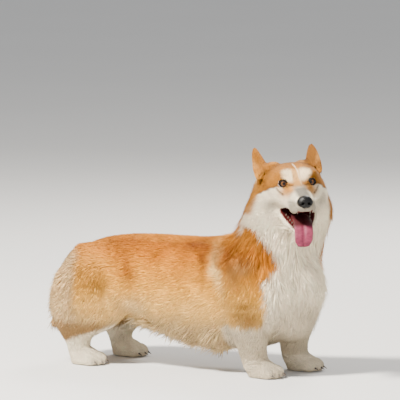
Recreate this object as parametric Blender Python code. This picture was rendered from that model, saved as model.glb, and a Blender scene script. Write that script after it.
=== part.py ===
"""A still, life-size Pembroke Welsh corgi that stands with its head turned to its right and its mouth open.

Metres, +Z up. +X is the way the body faces and +Y is the dog's left. The origin is on the floor, under the
middle of the dog. The coat's outer surface is lofted from a few stations for each part of the body, fused and
smoothed as one form, and then parted by thin cuts into the nodes that a person would name.
"""

import math

import bmesh
import bpy
import numpy as np
from mathutils import Matrix, Vector
from mathutils.bvhtree import BVHTree

# Driving dimensions
GAP = 0.0003  # left between nodes that touch
VOXEL = 0.0025  # grain of the fused coat surface
RING_POINTS = 40  # points around each loft
STEPS = 5  # rings between two stations of a loft

STANCE_REAR = 0.070  # sideways place of a hind paw
STANCE_FRONT = 0.060  # sideways place of a fore paw
LEFT_FORELEG_AHEAD = 0.027  # the left foreleg stands this far ahead of the right
LEFT_HINDLEG_AHEAD = 0.018

HEAD_CENTRE = Vector((0.2275, -0.0413, 0.390))  # between the eyes' level and the ears
HEAD_YAW = math.radians(-53)
HEAD_ROLL = math.radians(3)

EYE_RADIUS = 0.0106
EYE_OPENING = (0.0084, 0.0060)  # half width and half height between the lids
EYE_PLACE = (0.0408, 0.0260, -0.0015)  # forward, outward and up from the head's centre
JAW_HINGE = (0.000, 0.0, -0.043)
JAW_OPEN = math.radians(30)
NOSE_PLACE = (0.1150, 0.0, -0.0315)
NOSE_HALF = (0.0120, 0.0155, 0.0125)

# Origin of the frame, measured from the stations' own origin
FRAME_ORIGIN = Vector((0.0030, -0.0170, 0.0))

COAT_COLOURS = {
    "red": (0.62, 0.30, 0.10),
    "cream": (0.78, 0.66, 0.50),
    "white": (0.82, 0.79, 0.74),
    "nose": (0.03, 0.03, 0.035),
    "eye": (0.10, 0.045, 0.02),
    "tongue": (0.66, 0.24, 0.30),
    "claw": (0.09, 0.08, 0.07),
}

# Torso: along, lowest, widest level, highest, half width
TORSO = (
    (-0.288, 0.128, 0.160, 0.190, 0.040),
    (-0.262, 0.104, 0.165, 0.226, 0.066),
    (-0.225, 0.098, 0.170, 0.248, 0.080),
    (-0.165, 0.096, 0.165, 0.2595, 0.085),
    (-0.100, 0.078, 0.155, 0.2630, 0.088),
    (-0.040, 0.060, 0.150, 0.2630, 0.092),
    (0.020, 0.049, 0.148, 0.2640, 0.095),
    (0.075, 0.045, 0.150, 0.2720, 0.096),
    (0.130, 0.047, 0.155, 0.2850, 0.094),
    (0.185, 0.064, 0.160, 0.2900, 0.088),
    (0.225, 0.088, 0.165, 0.2650, 0.073),
    (0.248, 0.122, 0.170, 0.2300, 0.048),
)

# Neck and ruff: level, centre along, centre aside, yaw in degrees, half across, half ahead, half behind
NECK = (
    (0.175, 0.158, 0.000, 0, 0.080, 0.080, 0.080),
    (0.210, 0.162, -0.001, -10, 0.088, 0.082, 0.086),
    (0.240, 0.170, -0.003, -24, 0.091, 0.079, 0.084),
    (0.270, 0.180, -0.005, -36, 0.091, 0.074, 0.080),
    (0.305, 0.197, -0.009, -47, 0.089, 0.070, 0.074),
    (0.328, 0.204, -0.013, -53, 0.086, 0.064, 0.070),
    (0.348, 0.207, -0.015, -53, 0.079, 0.054, 0.066),
    (0.370, 0.207, -0.016, -53, 0.071, 0.046, 0.060),
    (0.388, 0.206, -0.016, -53, 0.067, 0.038, 0.052),
)

# Thigh with its breeches: level, foremost, rearmost, out, half width
THIGH = (
    (0.232, -0.190, -0.262, 0.040, 0.034),
    (0.205, -0.158, -0.282, 0.048, 0.042),
    (0.170, -0.140, -0.298, 0.054, 0.045),
    (0.130, -0.133, -0.306, 0.058, 0.044),
    (0.098, -0.142, -0.302, 0.061, 0.038),
    (0.074, -0.166, -0.290, 0.066, 0.032),
    (0.056, -0.206, -0.277, 0.070, 0.026),
    (0.038, -0.216, -0.264, 0.070, 0.0215),
    (0.018, -0.212, -0.258, 0.070, 0.0215),
)

# Foreleg: level, along, out, half along, half across
FORELEG = (
    (0.150, 0.150, 0.074, 0.050, 0.034),
    (0.120, 0.149, 0.077, 0.047, 0.034),
    (0.095, 0.149, 0.075, 0.041, 0.033),
    (0.070, 0.150, 0.069, 0.033, 0.029),
    (0.048, 0.151, 0.063, 0.0285, 0.0265),
    (0.030, 0.155, 0.060, 0.0265, 0.0260),
    (0.016, 0.160, 0.060, 0.0260, 0.0260),
)

# Cranium and cheeks, then muzzle: forward, lowest, widest level, highest, half width
CRANIUM = (
    (-0.076, -0.040, -0.012, 0.006, 0.0280),
    (-0.055, -0.056, -0.012, 0.024, 0.0480),
    (-0.025, -0.062, -0.012, 0.0325, 0.0575),
    (0.005, -0.061, -0.012, 0.0330, 0.0575),
    (0.028, -0.057, -0.014, 0.0285, 0.0515),
    (0.044, -0.054, -0.018, 0.0175, 0.0410),
    (0.058, -0.053, -0.026, 0.0035, 0.0290),
)
MUZZLE = (
    (0.030, -0.054, -0.028, 0.0060, 0.0360),
    (0.055, -0.056, -0.034, -0.0020, 0.0295),
    (0.080, -0.057, -0.036, -0.0095, 0.0250),
    (0.100, -0.056, -0.037, -0.0145, 0.0220),
    (0.113, -0.053, -0.038, -0.0190, 0.0185),
    (0.120, -0.048, -0.038, -0.0260, 0.0120),
)
PALATE = (
    (0.015, -0.075, -0.052, -0.0400, 0.0330),
    (0.045, -0.075, -0.052, -0.0420, 0.0285),
    (0.080, -0.075, -0.052, -0.0440, 0.0205),
    (0.106, -0.075, -0.052, -0.0455, 0.0160),
)
# Lower jaw, along its own axis from the hinge: along, lowest, widest level, highest, half width
JAW = (
    (0.012, -0.020, -0.004, 0.0070, 0.0390),
    (0.035, -0.020, -0.003, 0.0060, 0.0385),
    (0.055, -0.019, -0.002, 0.0050, 0.0345),
    (0.072, -0.017, -0.002, 0.0050, 0.0280),
    (0.088, -0.014, -0.002, 0.0050, 0.0205),
    (0.098, -0.010, -0.001, 0.0040, 0.0145),
)
# Floor of the mouth, cut into the jaw from above
JAW_TROUGH = (
    (0.005, -0.0080, 0.010, 0.0300, 0.0340),
    (0.035, -0.0080, 0.010, 0.0300, 0.0335),
    (0.055, -0.0075, 0.010, 0.0300, 0.0295),
    (0.072, -0.0070, 0.010, 0.0300, 0.0235),
    (0.088, -0.0055, 0.010, 0.0300, 0.0165),
    (0.096, -0.0035, 0.010, 0.0300, 0.0110),
)
# Tongue: forward, aside, up, half width, half thickness
TONGUE = (
    (0.030, 0.0000, -0.0660, 0.0140, 0.0040),
    (0.055, -0.0005, -0.0680, 0.0165, 0.0045),
    (0.080, -0.0010, -0.0720, 0.0175, 0.0045),
    (0.096, -0.0020, -0.0810, 0.0180, 0.0042),
    (0.105, -0.0035, -0.0950, 0.0180, 0.0038),
    (0.109, -0.0050, -0.1070, 0.0170, 0.0034),
    (0.110, -0.0058, -0.1150, 0.0125, 0.0028),
)
# Ear: share of the length, half width, how far its rims curl forward of its back
EAR = (
    (0.00, 0.0255, 0.0180),
    (0.22, 0.0252, 0.0172),
    (0.42, 0.0230, 0.0145),
    (0.60, 0.0193, 0.0108),
    (0.76, 0.0148, 0.0070),
    (0.89, 0.0095, 0.0034),
    (0.97, 0.0045, 0.0010),
)
EAR_WALL = 0.0032
# Of the left and right ear: middle of the root and tip, forward, aside and up, and the way its opening faces
EARS = {
    1: ((-0.022, 0.0400, 0.0020), (-0.055, 0.0480, 0.0640), math.radians(120)),
    -1: ((-0.022, -0.0470, 0.0010), (-0.055, -0.0650, 0.0640), math.radians(-134)),
}

TAIL = ((-0.255, 0.226, 0.018), (-0.276, 0.214, 0.019), (-0.292, 0.198, 0.016), (-0.301, 0.184, 0.010))

# Locks of the long coat: spacing, length, width, thickness, depth of the core under the tips, the way they lie
LOCKS = {
    "ruff": (0.0490, 0.088, 0.048, 0.0115, 0.0120, (-0.15, 0.0, -1.0)),
    "bib": (0.0465, 0.084, 0.047, 0.0115, 0.0120, (0.10, 0.0, -1.0)),
    "breeches": (0.0420, 0.076, 0.043, 0.0115, 0.0130, (-0.20, 0.0, -1.0)),
    "fringe": (0.0420, 0.062, 0.038, 0.0105, 0.0130, (-0.70, 0.0, -1.0)),
    "cheek": (0.0280, 0.040, 0.026, 0.0080, 0.0060, (-0.6, 0.0, -1.0)),
}
LOCK_SINK = 0.010  # how far a lock's root goes into the core
LOCK_SHAPE = ((0.0, 0.60, 0.70), (0.34, 1.0, 1.0), (0.70, 0.72, 0.75))  # share of length, width, thickness

TOE_RADIUS = 0.0115
CLAW_LENGTH = 0.0130
CLAW_RADIUS = 0.0026


def head_matrix():
    turn = Matrix.Rotation(HEAD_YAW, 4, "Z") @ Matrix.Rotation(HEAD_ROLL, 4, "X")
    return Matrix.Translation(HEAD_CENTRE) @ turn


NECK_BASE = Matrix.Translation((0.165, 0, 0.243)) @ Matrix.Rotation(math.radians(27), 4, "Y")


def jaw_matrix():
    return head_matrix() @ Matrix.Translation(JAW_HINGE) @ Matrix.Rotation(JAW_OPEN, 4, "Y")


def smooth_rows(rows, steps=STEPS):
    """The rows of numbers with more rows between them, read from a Catmull-Rom curve through them."""
    rows = np.array(rows, float)
    padded = np.vstack([2 * rows[0] - rows[1], rows, 2 * rows[-1] - rows[-2]])
    filled = []
    for i in range(len(rows) - 1):
        a, b, c, d = padded[i : i + 4]
        for t in np.arange(steps) / steps:
            filled.append(
                0.5 * (2 * b + (c - a) * t + (2 * a - 5 * b + 4 * c - d) * t**2 + (3 * b - a - 3 * c + d) * t**3)
            )
    filled.append(rows[-1])
    return np.array(filled)


def round_ends(rows, sizes, along=0, share=0.45, rings=3):
    """Rows with a few smaller rings before the first and after the last, so that a loft ends in a dome.

    sizes lists the columns that shrink, and share is how long the dome is against the first size."""

    def dome(end, inner):
        direction = np.sign(end[along] - inner[along])
        length = share * end[sizes[0]]
        made = []
        for angle in np.linspace(0, math.pi / 2, rings + 2)[1:-1]:
            row = end.copy()
            row[along] += direction * length * math.sin(angle)
            row[list(sizes)] *= math.cos(angle)
            made.append(row)
        return made

    return np.vstack([dome(rows[0], rows[1])[::-1], rows, dome(rows[-1], rows[-2])])


def loft(rings, bent=False):
    """A closed bmesh through rings of points, with fans at its ends, or strips where the ring is a bent sheet."""
    made = bmesh.new()
    loops = [[made.verts.new(p) for p in ring] for ring in rings]
    for first, second in zip(loops, loops[1:]):
        for i in range(len(first)):
            j = (i + 1) % len(first)
            made.faces.new((first[i], first[j], second[j], second[i]))
    for ring, loop in ((rings[0], loops[0]), (rings[-1], loops[-1])):
        if bent:
            for i in range(len(loop) // 2 - 1):
                made.faces.new((loop[i], loop[i + 1], loop[-2 - i], loop[-1 - i]))
            continue
        middle = made.verts.new(np.mean(ring, axis=0))
        for i in range(len(loop)):
            made.faces.new((loop[i], loop[(i + 1) % len(loop)], middle))
    bmesh.ops.recalc_face_normals(made, faces=made.faces)
    return made


def egg_ring(centre, across, upward, half_width, above, below, points=RING_POINTS, square=2.3):
    """A ring that is rounder than a box and fuller than an ellipse, with its own height above and below."""
    angles = np.arange(points) * 2 * math.pi / points
    side = np.sign(np.cos(angles)) * np.abs(np.cos(angles)) ** (2 / square) * half_width
    rise = np.sign(np.sin(angles)) * np.abs(np.sin(angles)) ** (2 / square)
    rise = np.where(rise > 0, rise * above, rise * below)
    return np.array(centre) + np.outer(side, across) + np.outer(rise, upward)


def barrel(stations, grow=0.0, points=RING_POINTS, steps=STEPS):
    """A loft along X whose stations give place, lowest, widest level, highest and half width."""
    rows = smooth_rows(stations, steps)
    rows = np.column_stack([rows[:, 0], rows[:, 2], rows[:, 4], rows[:, 3] - rows[:, 2], rows[:, 2] - rows[:, 1]])
    rows = round_ends(rows, (2, 3, 4), rings=3 if points > 30 else 2)
    rings = [
        egg_ring((x, 0, z), (0, 1, 0), (0, 0, 1), half + grow, above + grow, below + grow, points)
        for x, z, half, above, below in rows
    ]
    return loft(rings)


def collar():
    """The neck with its ruff: level rings that turn with the head as they rise."""
    rings = []
    for z, x, y, yaw, across, ahead, behind in round_ends(smooth_rows(NECK, 3), (4, 5, 6), share=0.2):
        angle = math.radians(yaw)
        forward = (math.cos(angle), math.sin(angle), 0)
        left = (-math.sin(angle), math.cos(angle), 0)
        rings.append(egg_ring((x, y, z), left, forward, across, ahead, behind))
    return loft(rings)


def thigh(side):
    """The hind leg from the rump to the pastern, side 1 for the left and -1 for the right."""
    ahead = LEFT_HINDLEG_AHEAD * (side > 0)
    rings = []
    for z, front, back, out, half in round_ends(smooth_rows(THIGH), (4,), share=0.3):
        middle, reach = (front + back) / 2 + ahead, (front - back) / 2
        shrink = min(1.0, half / 0.018)
        rings.append(egg_ring((middle, side * out, z), (0, 1, 0), (1, 0, 0), half, reach * shrink, reach * shrink))
    return loft(rings)


def foreleg(side):
    ahead = LEFT_FORELEG_AHEAD * (side > 0)
    rings = [
        egg_ring((x + ahead, side * y, z), (0, 1, 0), (1, 0, 0), across, along, along)
        for z, x, y, along, across in round_ends(smooth_rows(FORELEG), (3, 4), share=0.3)
    ]
    return loft(rings)


def blob(centre, half, turn=0.0, around=28):
    """An ellipsoid, turned about Y."""
    made = bmesh.new()
    bmesh.ops.create_uvsphere(made, u_segments=around, v_segments=around // 2 + 1, radius=1)
    place = Matrix.Translation(centre) @ Matrix.Rotation(turn, 4, "Y") @ Matrix.Diagonal((*half, 1))
    made.transform(place)
    return made


def paw_places():
    """Name, forward place, sideways place and yaw of each paw."""
    front, rear = 0.172, -0.222
    return (
        ("fore_right", front, -STANCE_FRONT, math.radians(-6)),
        ("fore_left", front + LEFT_FORELEG_AHEAD, STANCE_FRONT, math.radians(6)),
        ("hind_right", rear, -STANCE_REAR, math.radians(-4)),
        ("hind_left", rear + LEFT_HINDLEG_AHEAD, STANCE_REAR, math.radians(4)),
    )


def toe_places():
    """Forward and sideways place of each toe from the paw's middle."""
    return ((0.0235, -0.0205), (0.0315, -0.0072), (0.0315, 0.0072), (0.0235, 0.0205))


def paw(x, y, yaw):
    """A low, round foot with four toes, as a list of closed pieces."""
    pieces = [blob((0, 0, 0.010), (0.034, 0.027, 0.026))]
    for forward, aside in toe_places():
        pieces.append(blob((forward - 0.004, aside, 0.0105), (0.0165, TOE_RADIUS * 0.86, 0.0145)))
    place = Matrix.Translation((x, y, 0)) @ Matrix.Rotation(yaw, 4, "Z")
    for piece in pieces:
        piece.transform(place)
    return pieces


def placed(pieces, matrix):
    for piece in pieces:
        piece.transform(matrix)
    return pieces


def head_forms():
    """The cranium, muzzle, brows, cheeks and lips, in the head's own frame."""
    forms = [barrel(CRANIUM), barrel(MUZZLE)]
    for side in (1, -1):
        forms.append(blob((0.030, side * 0.0260, 0.0150), (0.016, 0.0170, 0.0105)))
        forms.append(blob((0.030, side * 0.0320, -0.0220), (0.022, 0.0140, 0.0130)))
        forms.append(blob((-0.016, side * 0.0430, -0.0330), (0.040, 0.0270, 0.0330), math.radians(20)))
        forms.append(blob((0.085, side * 0.0125, -0.0450), (0.030, 0.0135, 0.0135)))
    return placed(forms, head_matrix())


# Hollows and swellings of the face: centre, reach and push, each forward, outward, up in the head's frame
FACE_TOUCHES = (
    ((0.052, 0.0285, -0.0010), 0.0115, (-0.0036, 0.0, 0.0)),
    ((0.058, 0.0000, 0.0040), 0.0160, (-0.0045, 0.0, -0.0020)),
    ((0.062, 0.0300, -0.0220), 0.0140, (0.0, -0.0040, 0.0)),
    ((0.030, 0.0460, -0.0520), 0.0130, (0.0, -0.0045, 0.0020)),
    ((0.020, 0.0000, 0.0340), 0.0140, (0.0, 0.0, -0.0020)),
    ((0.120, 0.0000, -0.0540), 0.0060, (-0.0020, 0.0, 0.0020)),
)


def touch_face(obj):
    """Pushes the points of the face in or out round the places listed above."""
    points = points_of(obj.data)
    turn = np.array(head_matrix().to_3x3())
    local = (points - np.array(HEAD_CENTRE)) @ turn
    moved = local.copy()
    for centre, reach, push in FACE_TOUCHES:
        for side in (1, -1) if centre[1] else (1,):
            flip = np.array((1, side, 1))
            distance = np.linalg.norm(local - np.array(centre) * flip, axis=1)
            moved += np.exp(-((distance / reach) ** 2))[:, None] * np.array(push) * flip
    obj.data.vertices.foreach_set("co", (moved @ turn.T + np.array(HEAD_CENTRE)).ravel())
    obj.data.update()


def body_forms():
    forms = [barrel(TORSO), collar()]
    forms.append(blob((0.205, 0, 0.150), (0.049, 0.076, 0.088)))
    for side in (1, -1):
        forms += [thigh(side), foreleg(side)]
        ahead = LEFT_FORELEG_AHEAD * (side > 0) * 0.5
        forms.append(blob((0.128 + ahead, side * 0.066, 0.195), (0.058, 0.036, 0.085), math.radians(22)))
        forms.append(blob((0.165 + ahead, side * 0.072, 0.135), (0.054, 0.034, 0.046)))
    for _, x, y, yaw in paw_places():
        forms += paw(x, y, yaw)
    return forms


def joined(forms, name):
    """One mesh object that holds every piece, still as separate shells."""
    whole = bmesh.new()
    for form in forms:
        scratch = bpy.data.meshes.new("scratch")
        form.to_mesh(scratch)
        whole.from_mesh(scratch)
        bpy.data.meshes.remove(scratch)
        form.free()
    mesh = bpy.data.meshes.new(name)
    whole.to_mesh(mesh)
    whole.free()
    obj = bpy.data.objects.new(name, mesh)
    bpy.context.scene.collection.objects.link(obj)
    return obj


def bake_modifiers(obj):
    """The object's mesh replaced by what its modifiers make of it."""
    graph = bpy.context.evaluated_depsgraph_get()
    mesh = bpy.data.meshes.new_from_object(obj.evaluated_get(graph))
    obj.modifiers.clear()
    old = obj.data
    obj.data = mesh
    bpy.data.meshes.remove(old)


def points_of(mesh):
    found = np.empty(len(mesh.vertices) * 3)
    mesh.vertices.foreach_get("co", found)
    return found.reshape(-1, 3)


def face_share(points):
    """1 on the face, falling to 0 behind the ears and on the neck."""
    local = (points - np.array(HEAD_CENTRE)) @ np.array(head_matrix().to_3x3())
    ahead = np.clip((local[:, 0] + 0.030) / 0.030, 0, 1)
    above = np.clip((local[:, 2] + 0.085) / 0.020, 0, 1)
    aside = np.clip((0.085 - np.abs(local[:, 1])) / 0.015, 0, 1)
    return ahead * above * aside


def paw_share(points):
    """1 at the floor, falling to 0 above the paws."""
    return np.clip((0.041 - points[:, 2]) / 0.006, 0, 1)


def ramp(values, start, end):
    """0 at start, 1 at end, with soft ends."""
    t = np.clip((values - start) / (end - start), 0, 1)
    return t * t * (3 - 2 * t)


def long_coat(points):
    """How much each zone of long coat covers each point."""
    x, y, z = points.T
    f, side, k = ((points - np.array(HEAD_CENTRE)) @ np.array(head_matrix().to_3x3())).T
    below_face = np.maximum(ramp(k, -0.060, -0.085), ramp(f, -0.040, -0.062))
    neck = ramp(x + 0.55 * (z - 0.28), 0.065, 0.100) * ramp(z, 0.225, 0.255) * below_face * ramp(k, 0.030, 0.008)
    bib = ramp(x + 0.25 * (z - 0.2), 0.175, 0.205) * ramp(z, 0.090, 0.115) * ramp(z, 0.262, 0.235)
    breeches = ramp(x, -0.232, -0.262) * ramp(z, 0.070, 0.092) * ramp(z, 0.215, 0.190)
    fringe = ramp(z, 0.112, 0.088) * ramp(x, -0.142, -0.120) * ramp(x, 0.108, 0.080)
    cheek = ramp(f, -0.062, -0.050) * ramp(f, 0.004, -0.010) * ramp(np.abs(side), 0.040, 0.054)
    cheek *= ramp(k, -0.078, -0.066) * ramp(k, 0.004, -0.010)
    return {"ruff": neck, "bib": bib, "breeches": breeches, "fringe": fringe, "cheek": cheek}


def weight_group(obj, name, weights):
    group = obj.vertex_groups.new(name=name)
    for level in range(1, 11):
        chosen = np.flatnonzero(np.round(weights * 10) == level)
        group.add(chosen.tolist(), level / 10, "REPLACE")
    return group


def fuse(obj):
    """Voxel remesh and smoothing, strong on the body and light on the face and feet."""
    remesh = obj.modifiers.new("fuse", "REMESH")
    remesh.mode = "VOXEL"
    remesh.voxel_size = VOXEL
    bake_modifiers(obj)
    points = points_of(obj.data)
    keep = np.maximum(face_share(points), paw_share(points))
    weight_group(obj, "soft", 1 - keep)
    for name, rounds, group in (("all", 7, ""), ("body", 34, "soft")):
        smooth = obj.modifiers.new(name, "SMOOTH")
        smooth.factor = 0.5
        smooth.iterations = rounds
        smooth.vertex_group = group
    bake_modifiers(obj)


def thin_zone(obj, share, triangles):
    """Collapses edges where share is high, down to about that many triangles there."""
    corners = np.empty(len(obj.data.loops), int)
    obj.data.loops.foreach_get("vertex_index", corners)
    total = len(obj.data.polygons)
    count = int((share[corners.reshape(-1, 3)].mean(axis=1) > 0.5).sum())
    weight_group(obj, "thin", np.round(share))
    decimate = obj.modifiers.new("thin", "DECIMATE")
    decimate.ratio = (total - count + triangles) / total
    decimate.vertex_group = "thin"
    decimate.vertex_group_factor = 1.0
    decimate.use_collapse_triangulate = True
    bake_modifiers(obj)
    obj.vertex_groups.clear()


def thin_out(obj, face, feet, rest):
    """Brings the face, the feet and the rest down to about so many triangles each."""
    obj.modifiers.new("triangles", "TRIANGULATE").quad_method = "SHORTEST_DIAGONAL"
    bake_modifiers(obj)
    points = points_of(obj.data)
    thin_zone(obj, 1 - np.maximum(face_share(points), paw_share(points)), rest)
    thin_zone(obj, paw_share(points_of(obj.data)), feet)
    thin_zone(obj, face_share(points_of(obj.data)), face)


def copy_of(obj, name):
    made = bpy.data.objects.new(name, obj.data.copy())
    bpy.context.scene.collection.objects.link(made)
    return made


def boolean(obj, operation, other):
    modifier = obj.modifiers.new(operation.lower(), "BOOLEAN")
    modifier.operation = operation
    modifier.solver = "MANIFOLD"
    modifier.object = other
    bake_modifiers(obj)


def keep_largest(obj):
    """Merges points that all but meet, and drops every closed surface but the largest."""
    work = bmesh.new()
    work.from_mesh(obj.data)
    merged = work.copy()
    bmesh.ops.remove_doubles(merged, verts=merged.verts, dist=4e-6)
    bmesh.ops.dissolve_degenerate(merged, edges=merged.edges, dist=2e-6)
    if all(len(edge.link_faces) == 2 for edge in merged.edges):
        work, merged = merged, work
    merged.free()
    left = set(work.faces)
    islands = []
    while left:
        stack = [left.pop()]
        island = set(stack)
        while stack:
            for edge in stack.pop().edges:
                for face in edge.link_faces:
                    if face in left:
                        left.discard(face)
                        island.add(face)
                        stack.append(face)
        islands.append(island)
    islands.sort(key=len, reverse=True)
    loose = [face for island in islands[1:] for face in island]
    bmesh.ops.delete(work, geom=loose, context="FACES")
    bmesh.ops.delete(work, geom=[vert for vert in work.verts if not vert.link_faces], context="VERTS")
    work.to_mesh(obj.data)
    work.free()


def remove(obj):
    mesh = obj.data
    bpy.data.objects.remove(obj)
    bpy.data.meshes.remove(mesh)


def wedge(low, high, matrix, slant=0.0, grow=0.0):
    """A box cutter whose front and back lean forward by slant for each metre of height."""
    made = bmesh.new()
    bmesh.ops.create_cube(made, size=1)
    middle = (np.array(low) + np.array(high)) / 2
    size = np.array(high) - np.array(low) + 2 * grow
    for vert in made.verts:
        vert.co = Vector(middle + np.array(vert.co) * size)
        vert.co.x += slant * vert.co.z
    made.transform(matrix)
    return joined([made], "cutter")


def carve(whole, name, low, high, matrix=None, slant=0.0):
    """Takes the part of whole that is inside a box as a new object, and leaves a thin gap between the two."""
    place = matrix or Matrix.Identity(4)
    part = copy_of(whole, name)
    cutter = wedge(low, high, place, slant)
    boolean(part, "INTERSECT", cutter)
    remove(cutter)
    cutter = wedge(low, high, place, slant, GAP)
    boolean(whole, "DIFFERENCE", cutter)
    remove(cutter)
    keep_largest(part)
    keep_largest(whole)
    return part


def cut_by(obj, forms):
    """Takes the given closed pieces out of obj."""
    for form in forms:
        cutter = joined([form], "cutter")
        boolean(obj, "DIFFERENCE", cutter)
        remove(cutter)
    keep_largest(obj)


def joined_to(obj, forms):
    """Fuses the given closed pieces with obj."""
    for form in forms:
        extra = joined([form], "extra")
        boolean(obj, "UNION", extra)
        remove(extra)
    keep_largest(obj)


def grown(form, by):
    """The piece with each point moved out along its normal."""
    form.normal_update()
    shift = [vert.normal * by for vert in form.verts]
    for vert, step in zip(form.verts, shift):
        vert.co += step
    return form


def eyeball(side, grow=0.0):
    made = bmesh.new()
    bmesh.ops.create_uvsphere(made, u_segments=14, v_segments=9, radius=EYE_RADIUS + grow)
    x, y, z = EYE_PLACE
    made.transform(Matrix.Translation((x, side * y, z)))
    made.transform(head_matrix())
    return made


def eye_axes(side):
    """The way the lids face, across and up, in the head's frame."""
    gaze = Vector((1, side * 0.36, 0.03)).normalized()
    across = Vector((-gaze.y, gaze.x, 0)).normalized()
    return gaze, across, gaze.cross(across)


def almond(angle, grow=0.0):
    wide, tall = EYE_OPENING
    lean = 1 - 0.22 * math.cos(angle) ** 2
    return math.cos(angle) * (wide + grow), math.sin(angle) * (tall * lean + grow)


def eye_opening(side):
    """A short, almond-shaped prism that opens the face in front of the eyeball."""
    gaze, across, upward = eye_axes(side)
    middle = Vector((EYE_PLACE[0], side * EYE_PLACE[1], EYE_PLACE[2]))
    rings = []
    for depth, grow in ((0.002, 0.0008), (EYE_RADIUS, 0.0012), (EYE_RADIUS + 0.020, 0.0012)):
        ring = []
        for i in range(20):
            wide, tall = almond(2 * math.pi * i / 20, grow)
            ring.append(tuple(middle + gaze * depth + across * wide + upward * tall))
        rings.append(ring)
    made = loft(rings)
    made.transform(head_matrix())
    return made


def eyelids(side):
    """A rim round the eye's opening, which lies on the eyeball."""
    gaze, across, upward = eye_axes(side)
    middle = Vector((EYE_PLACE[0], side * EYE_PLACE[1], EYE_PLACE[2]))
    turns, around = 18, 5
    made = bmesh.new()
    loops = []
    for i in range(turns):
        wide, tall = almond(2 * math.pi * i / turns)
        depth = math.sqrt(EYE_RADIUS**2 - wide**2 - tall**2)
        outward = (across * wide + upward * tall).normalized()
        core = middle + gaze * (depth - 0.0002) + across * wide + upward * tall
        ring = []
        for a in np.arange(around) * 2 * math.pi / around:
            lift = outward * (0.0012 + 0.0019 * math.cos(a)) + gaze * (0.0011 * math.sin(a) - 0.0003)
            ring.append(made.verts.new(core + lift))
        loops.append(ring)
    for i in range(turns):
        first, second = loops[i], loops[(i + 1) % turns]
        for j in range(around):
            k = (j + 1) % around
            made.faces.new((first[j], first[k], second[k], second[j]))
    bmesh.ops.recalc_face_normals(made, faces=made.faces)
    made.transform(head_matrix())
    return made


def nose_form(grow=0.0):
    """The nose leather, broad above and narrower below, with two nostrils."""
    x, y, z = NOSE_PLACE
    deep, wide, tall = NOSE_HALF
    made = bmesh.new()
    bmesh.ops.create_uvsphere(made, u_segments=14, v_segments=8, radius=1)
    for vert in made.verts:
        narrow = 1.0 - 0.22 * max(0.0, -vert.co.z)
        vert.co = Vector((x + vert.co.x * deep, vert.co.y * wide * narrow, z + vert.co.z * tall))
    made.transform(head_matrix())
    return grown(made, grow) if grow else made


def nostril(side):
    """A comma-shaped hole: a round pit with a slot that runs out to the side."""
    x, y, z = NOSE_PLACE
    pit = blob((x + 0.0125, side * 0.0058, z - 0.0010), (0.0060, 0.0030, 0.0028), around=8)
    slot = blob((x + 0.0080, side * 0.0105, z - 0.0028), (0.0060, 0.0045, 0.0014), around=6)
    return placed([pit, slot], head_matrix())


def tongue_form(grow=0.0):
    rings = []
    rows = round_ends(smooth_rows(TONGUE, 2), (3, 4), along=2, share=0.3, rings=2)
    rows[:2, 2] = rows[2, 2]
    rows[:2, 0] = rows[2, 0] - np.array([0.006, 0.004])
    for i, (x, y, z, half, thick) in enumerate(rows):
        before, after = rows[max(i - 1, 0)], rows[min(i + 1, len(rows) - 1)]
        along = Vector((after[0] - before[0], 0, after[2] - before[2])).normalized()
        rise = (-along.z, 0, along.x)
        half, thick = half + grow, thick + grow
        rings.append(egg_ring((x, y, z), (0, 1, 0), rise, half, thick, thick, points=12, square=2.4))
    made = loft(rings)
    made.transform(head_matrix())
    return made


def tooth(root, tip, radius):
    """A slightly curved cone from root to tip."""
    root, tip = Vector(root), Vector(tip)
    axis = (tip - root).normalized()
    side = axis.cross(Vector((1, 0, 0))).normalized()
    other = axis.cross(side)
    rings = []
    for share, size in ((0.0, 1.0), (0.55, 0.8), (1.0, 0.15)):
        centre = root.lerp(tip, share)
        rings.append(
            [
                tuple(centre + (side * math.cos(a) + other * math.sin(a)) * radius * size)
                for a in np.arange(5) * math.pi / 2.5
            ]
        )
    return loft(rings)


def upper_teeth():
    teeth = []
    for side in (1, -1):
        teeth.append(tooth((0.0985, side * 0.0120, -0.0430), (0.0995, side * 0.0125, -0.0600), 0.0030))
        for n in range(3):
            across = 0.0018 + 0.0034 * n
            ahead = 0.1075 - 0.0012 * n
            teeth.append(tooth((ahead, side * across, -0.0430), (ahead, side * across, -0.0560), 0.0018))
        for n in range(3):
            back = 0.0850 - 0.0120 * n
            aside = 0.0140 + 0.0026 * n
            teeth.append(tooth((back, side * aside, -0.0410), (back, side * (aside + 0.0004), -0.0545), 0.0032))
    return placed(teeth, head_matrix())


def lower_teeth():
    teeth = []
    for side in (1, -1):
        teeth.append(tooth((0.0900, side * 0.0088, 0.0000), (0.0925, side * 0.0108, 0.0175), 0.0027))
        for n in range(3):
            back = 0.0740 - 0.0115 * n
            aside = 0.0150 + 0.0026 * n
            teeth.append(tooth((back, side * aside, 0.0010), (back, side * (aside + 0.0003), 0.0125), 0.0029))
    return placed(teeth, jaw_matrix())


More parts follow.
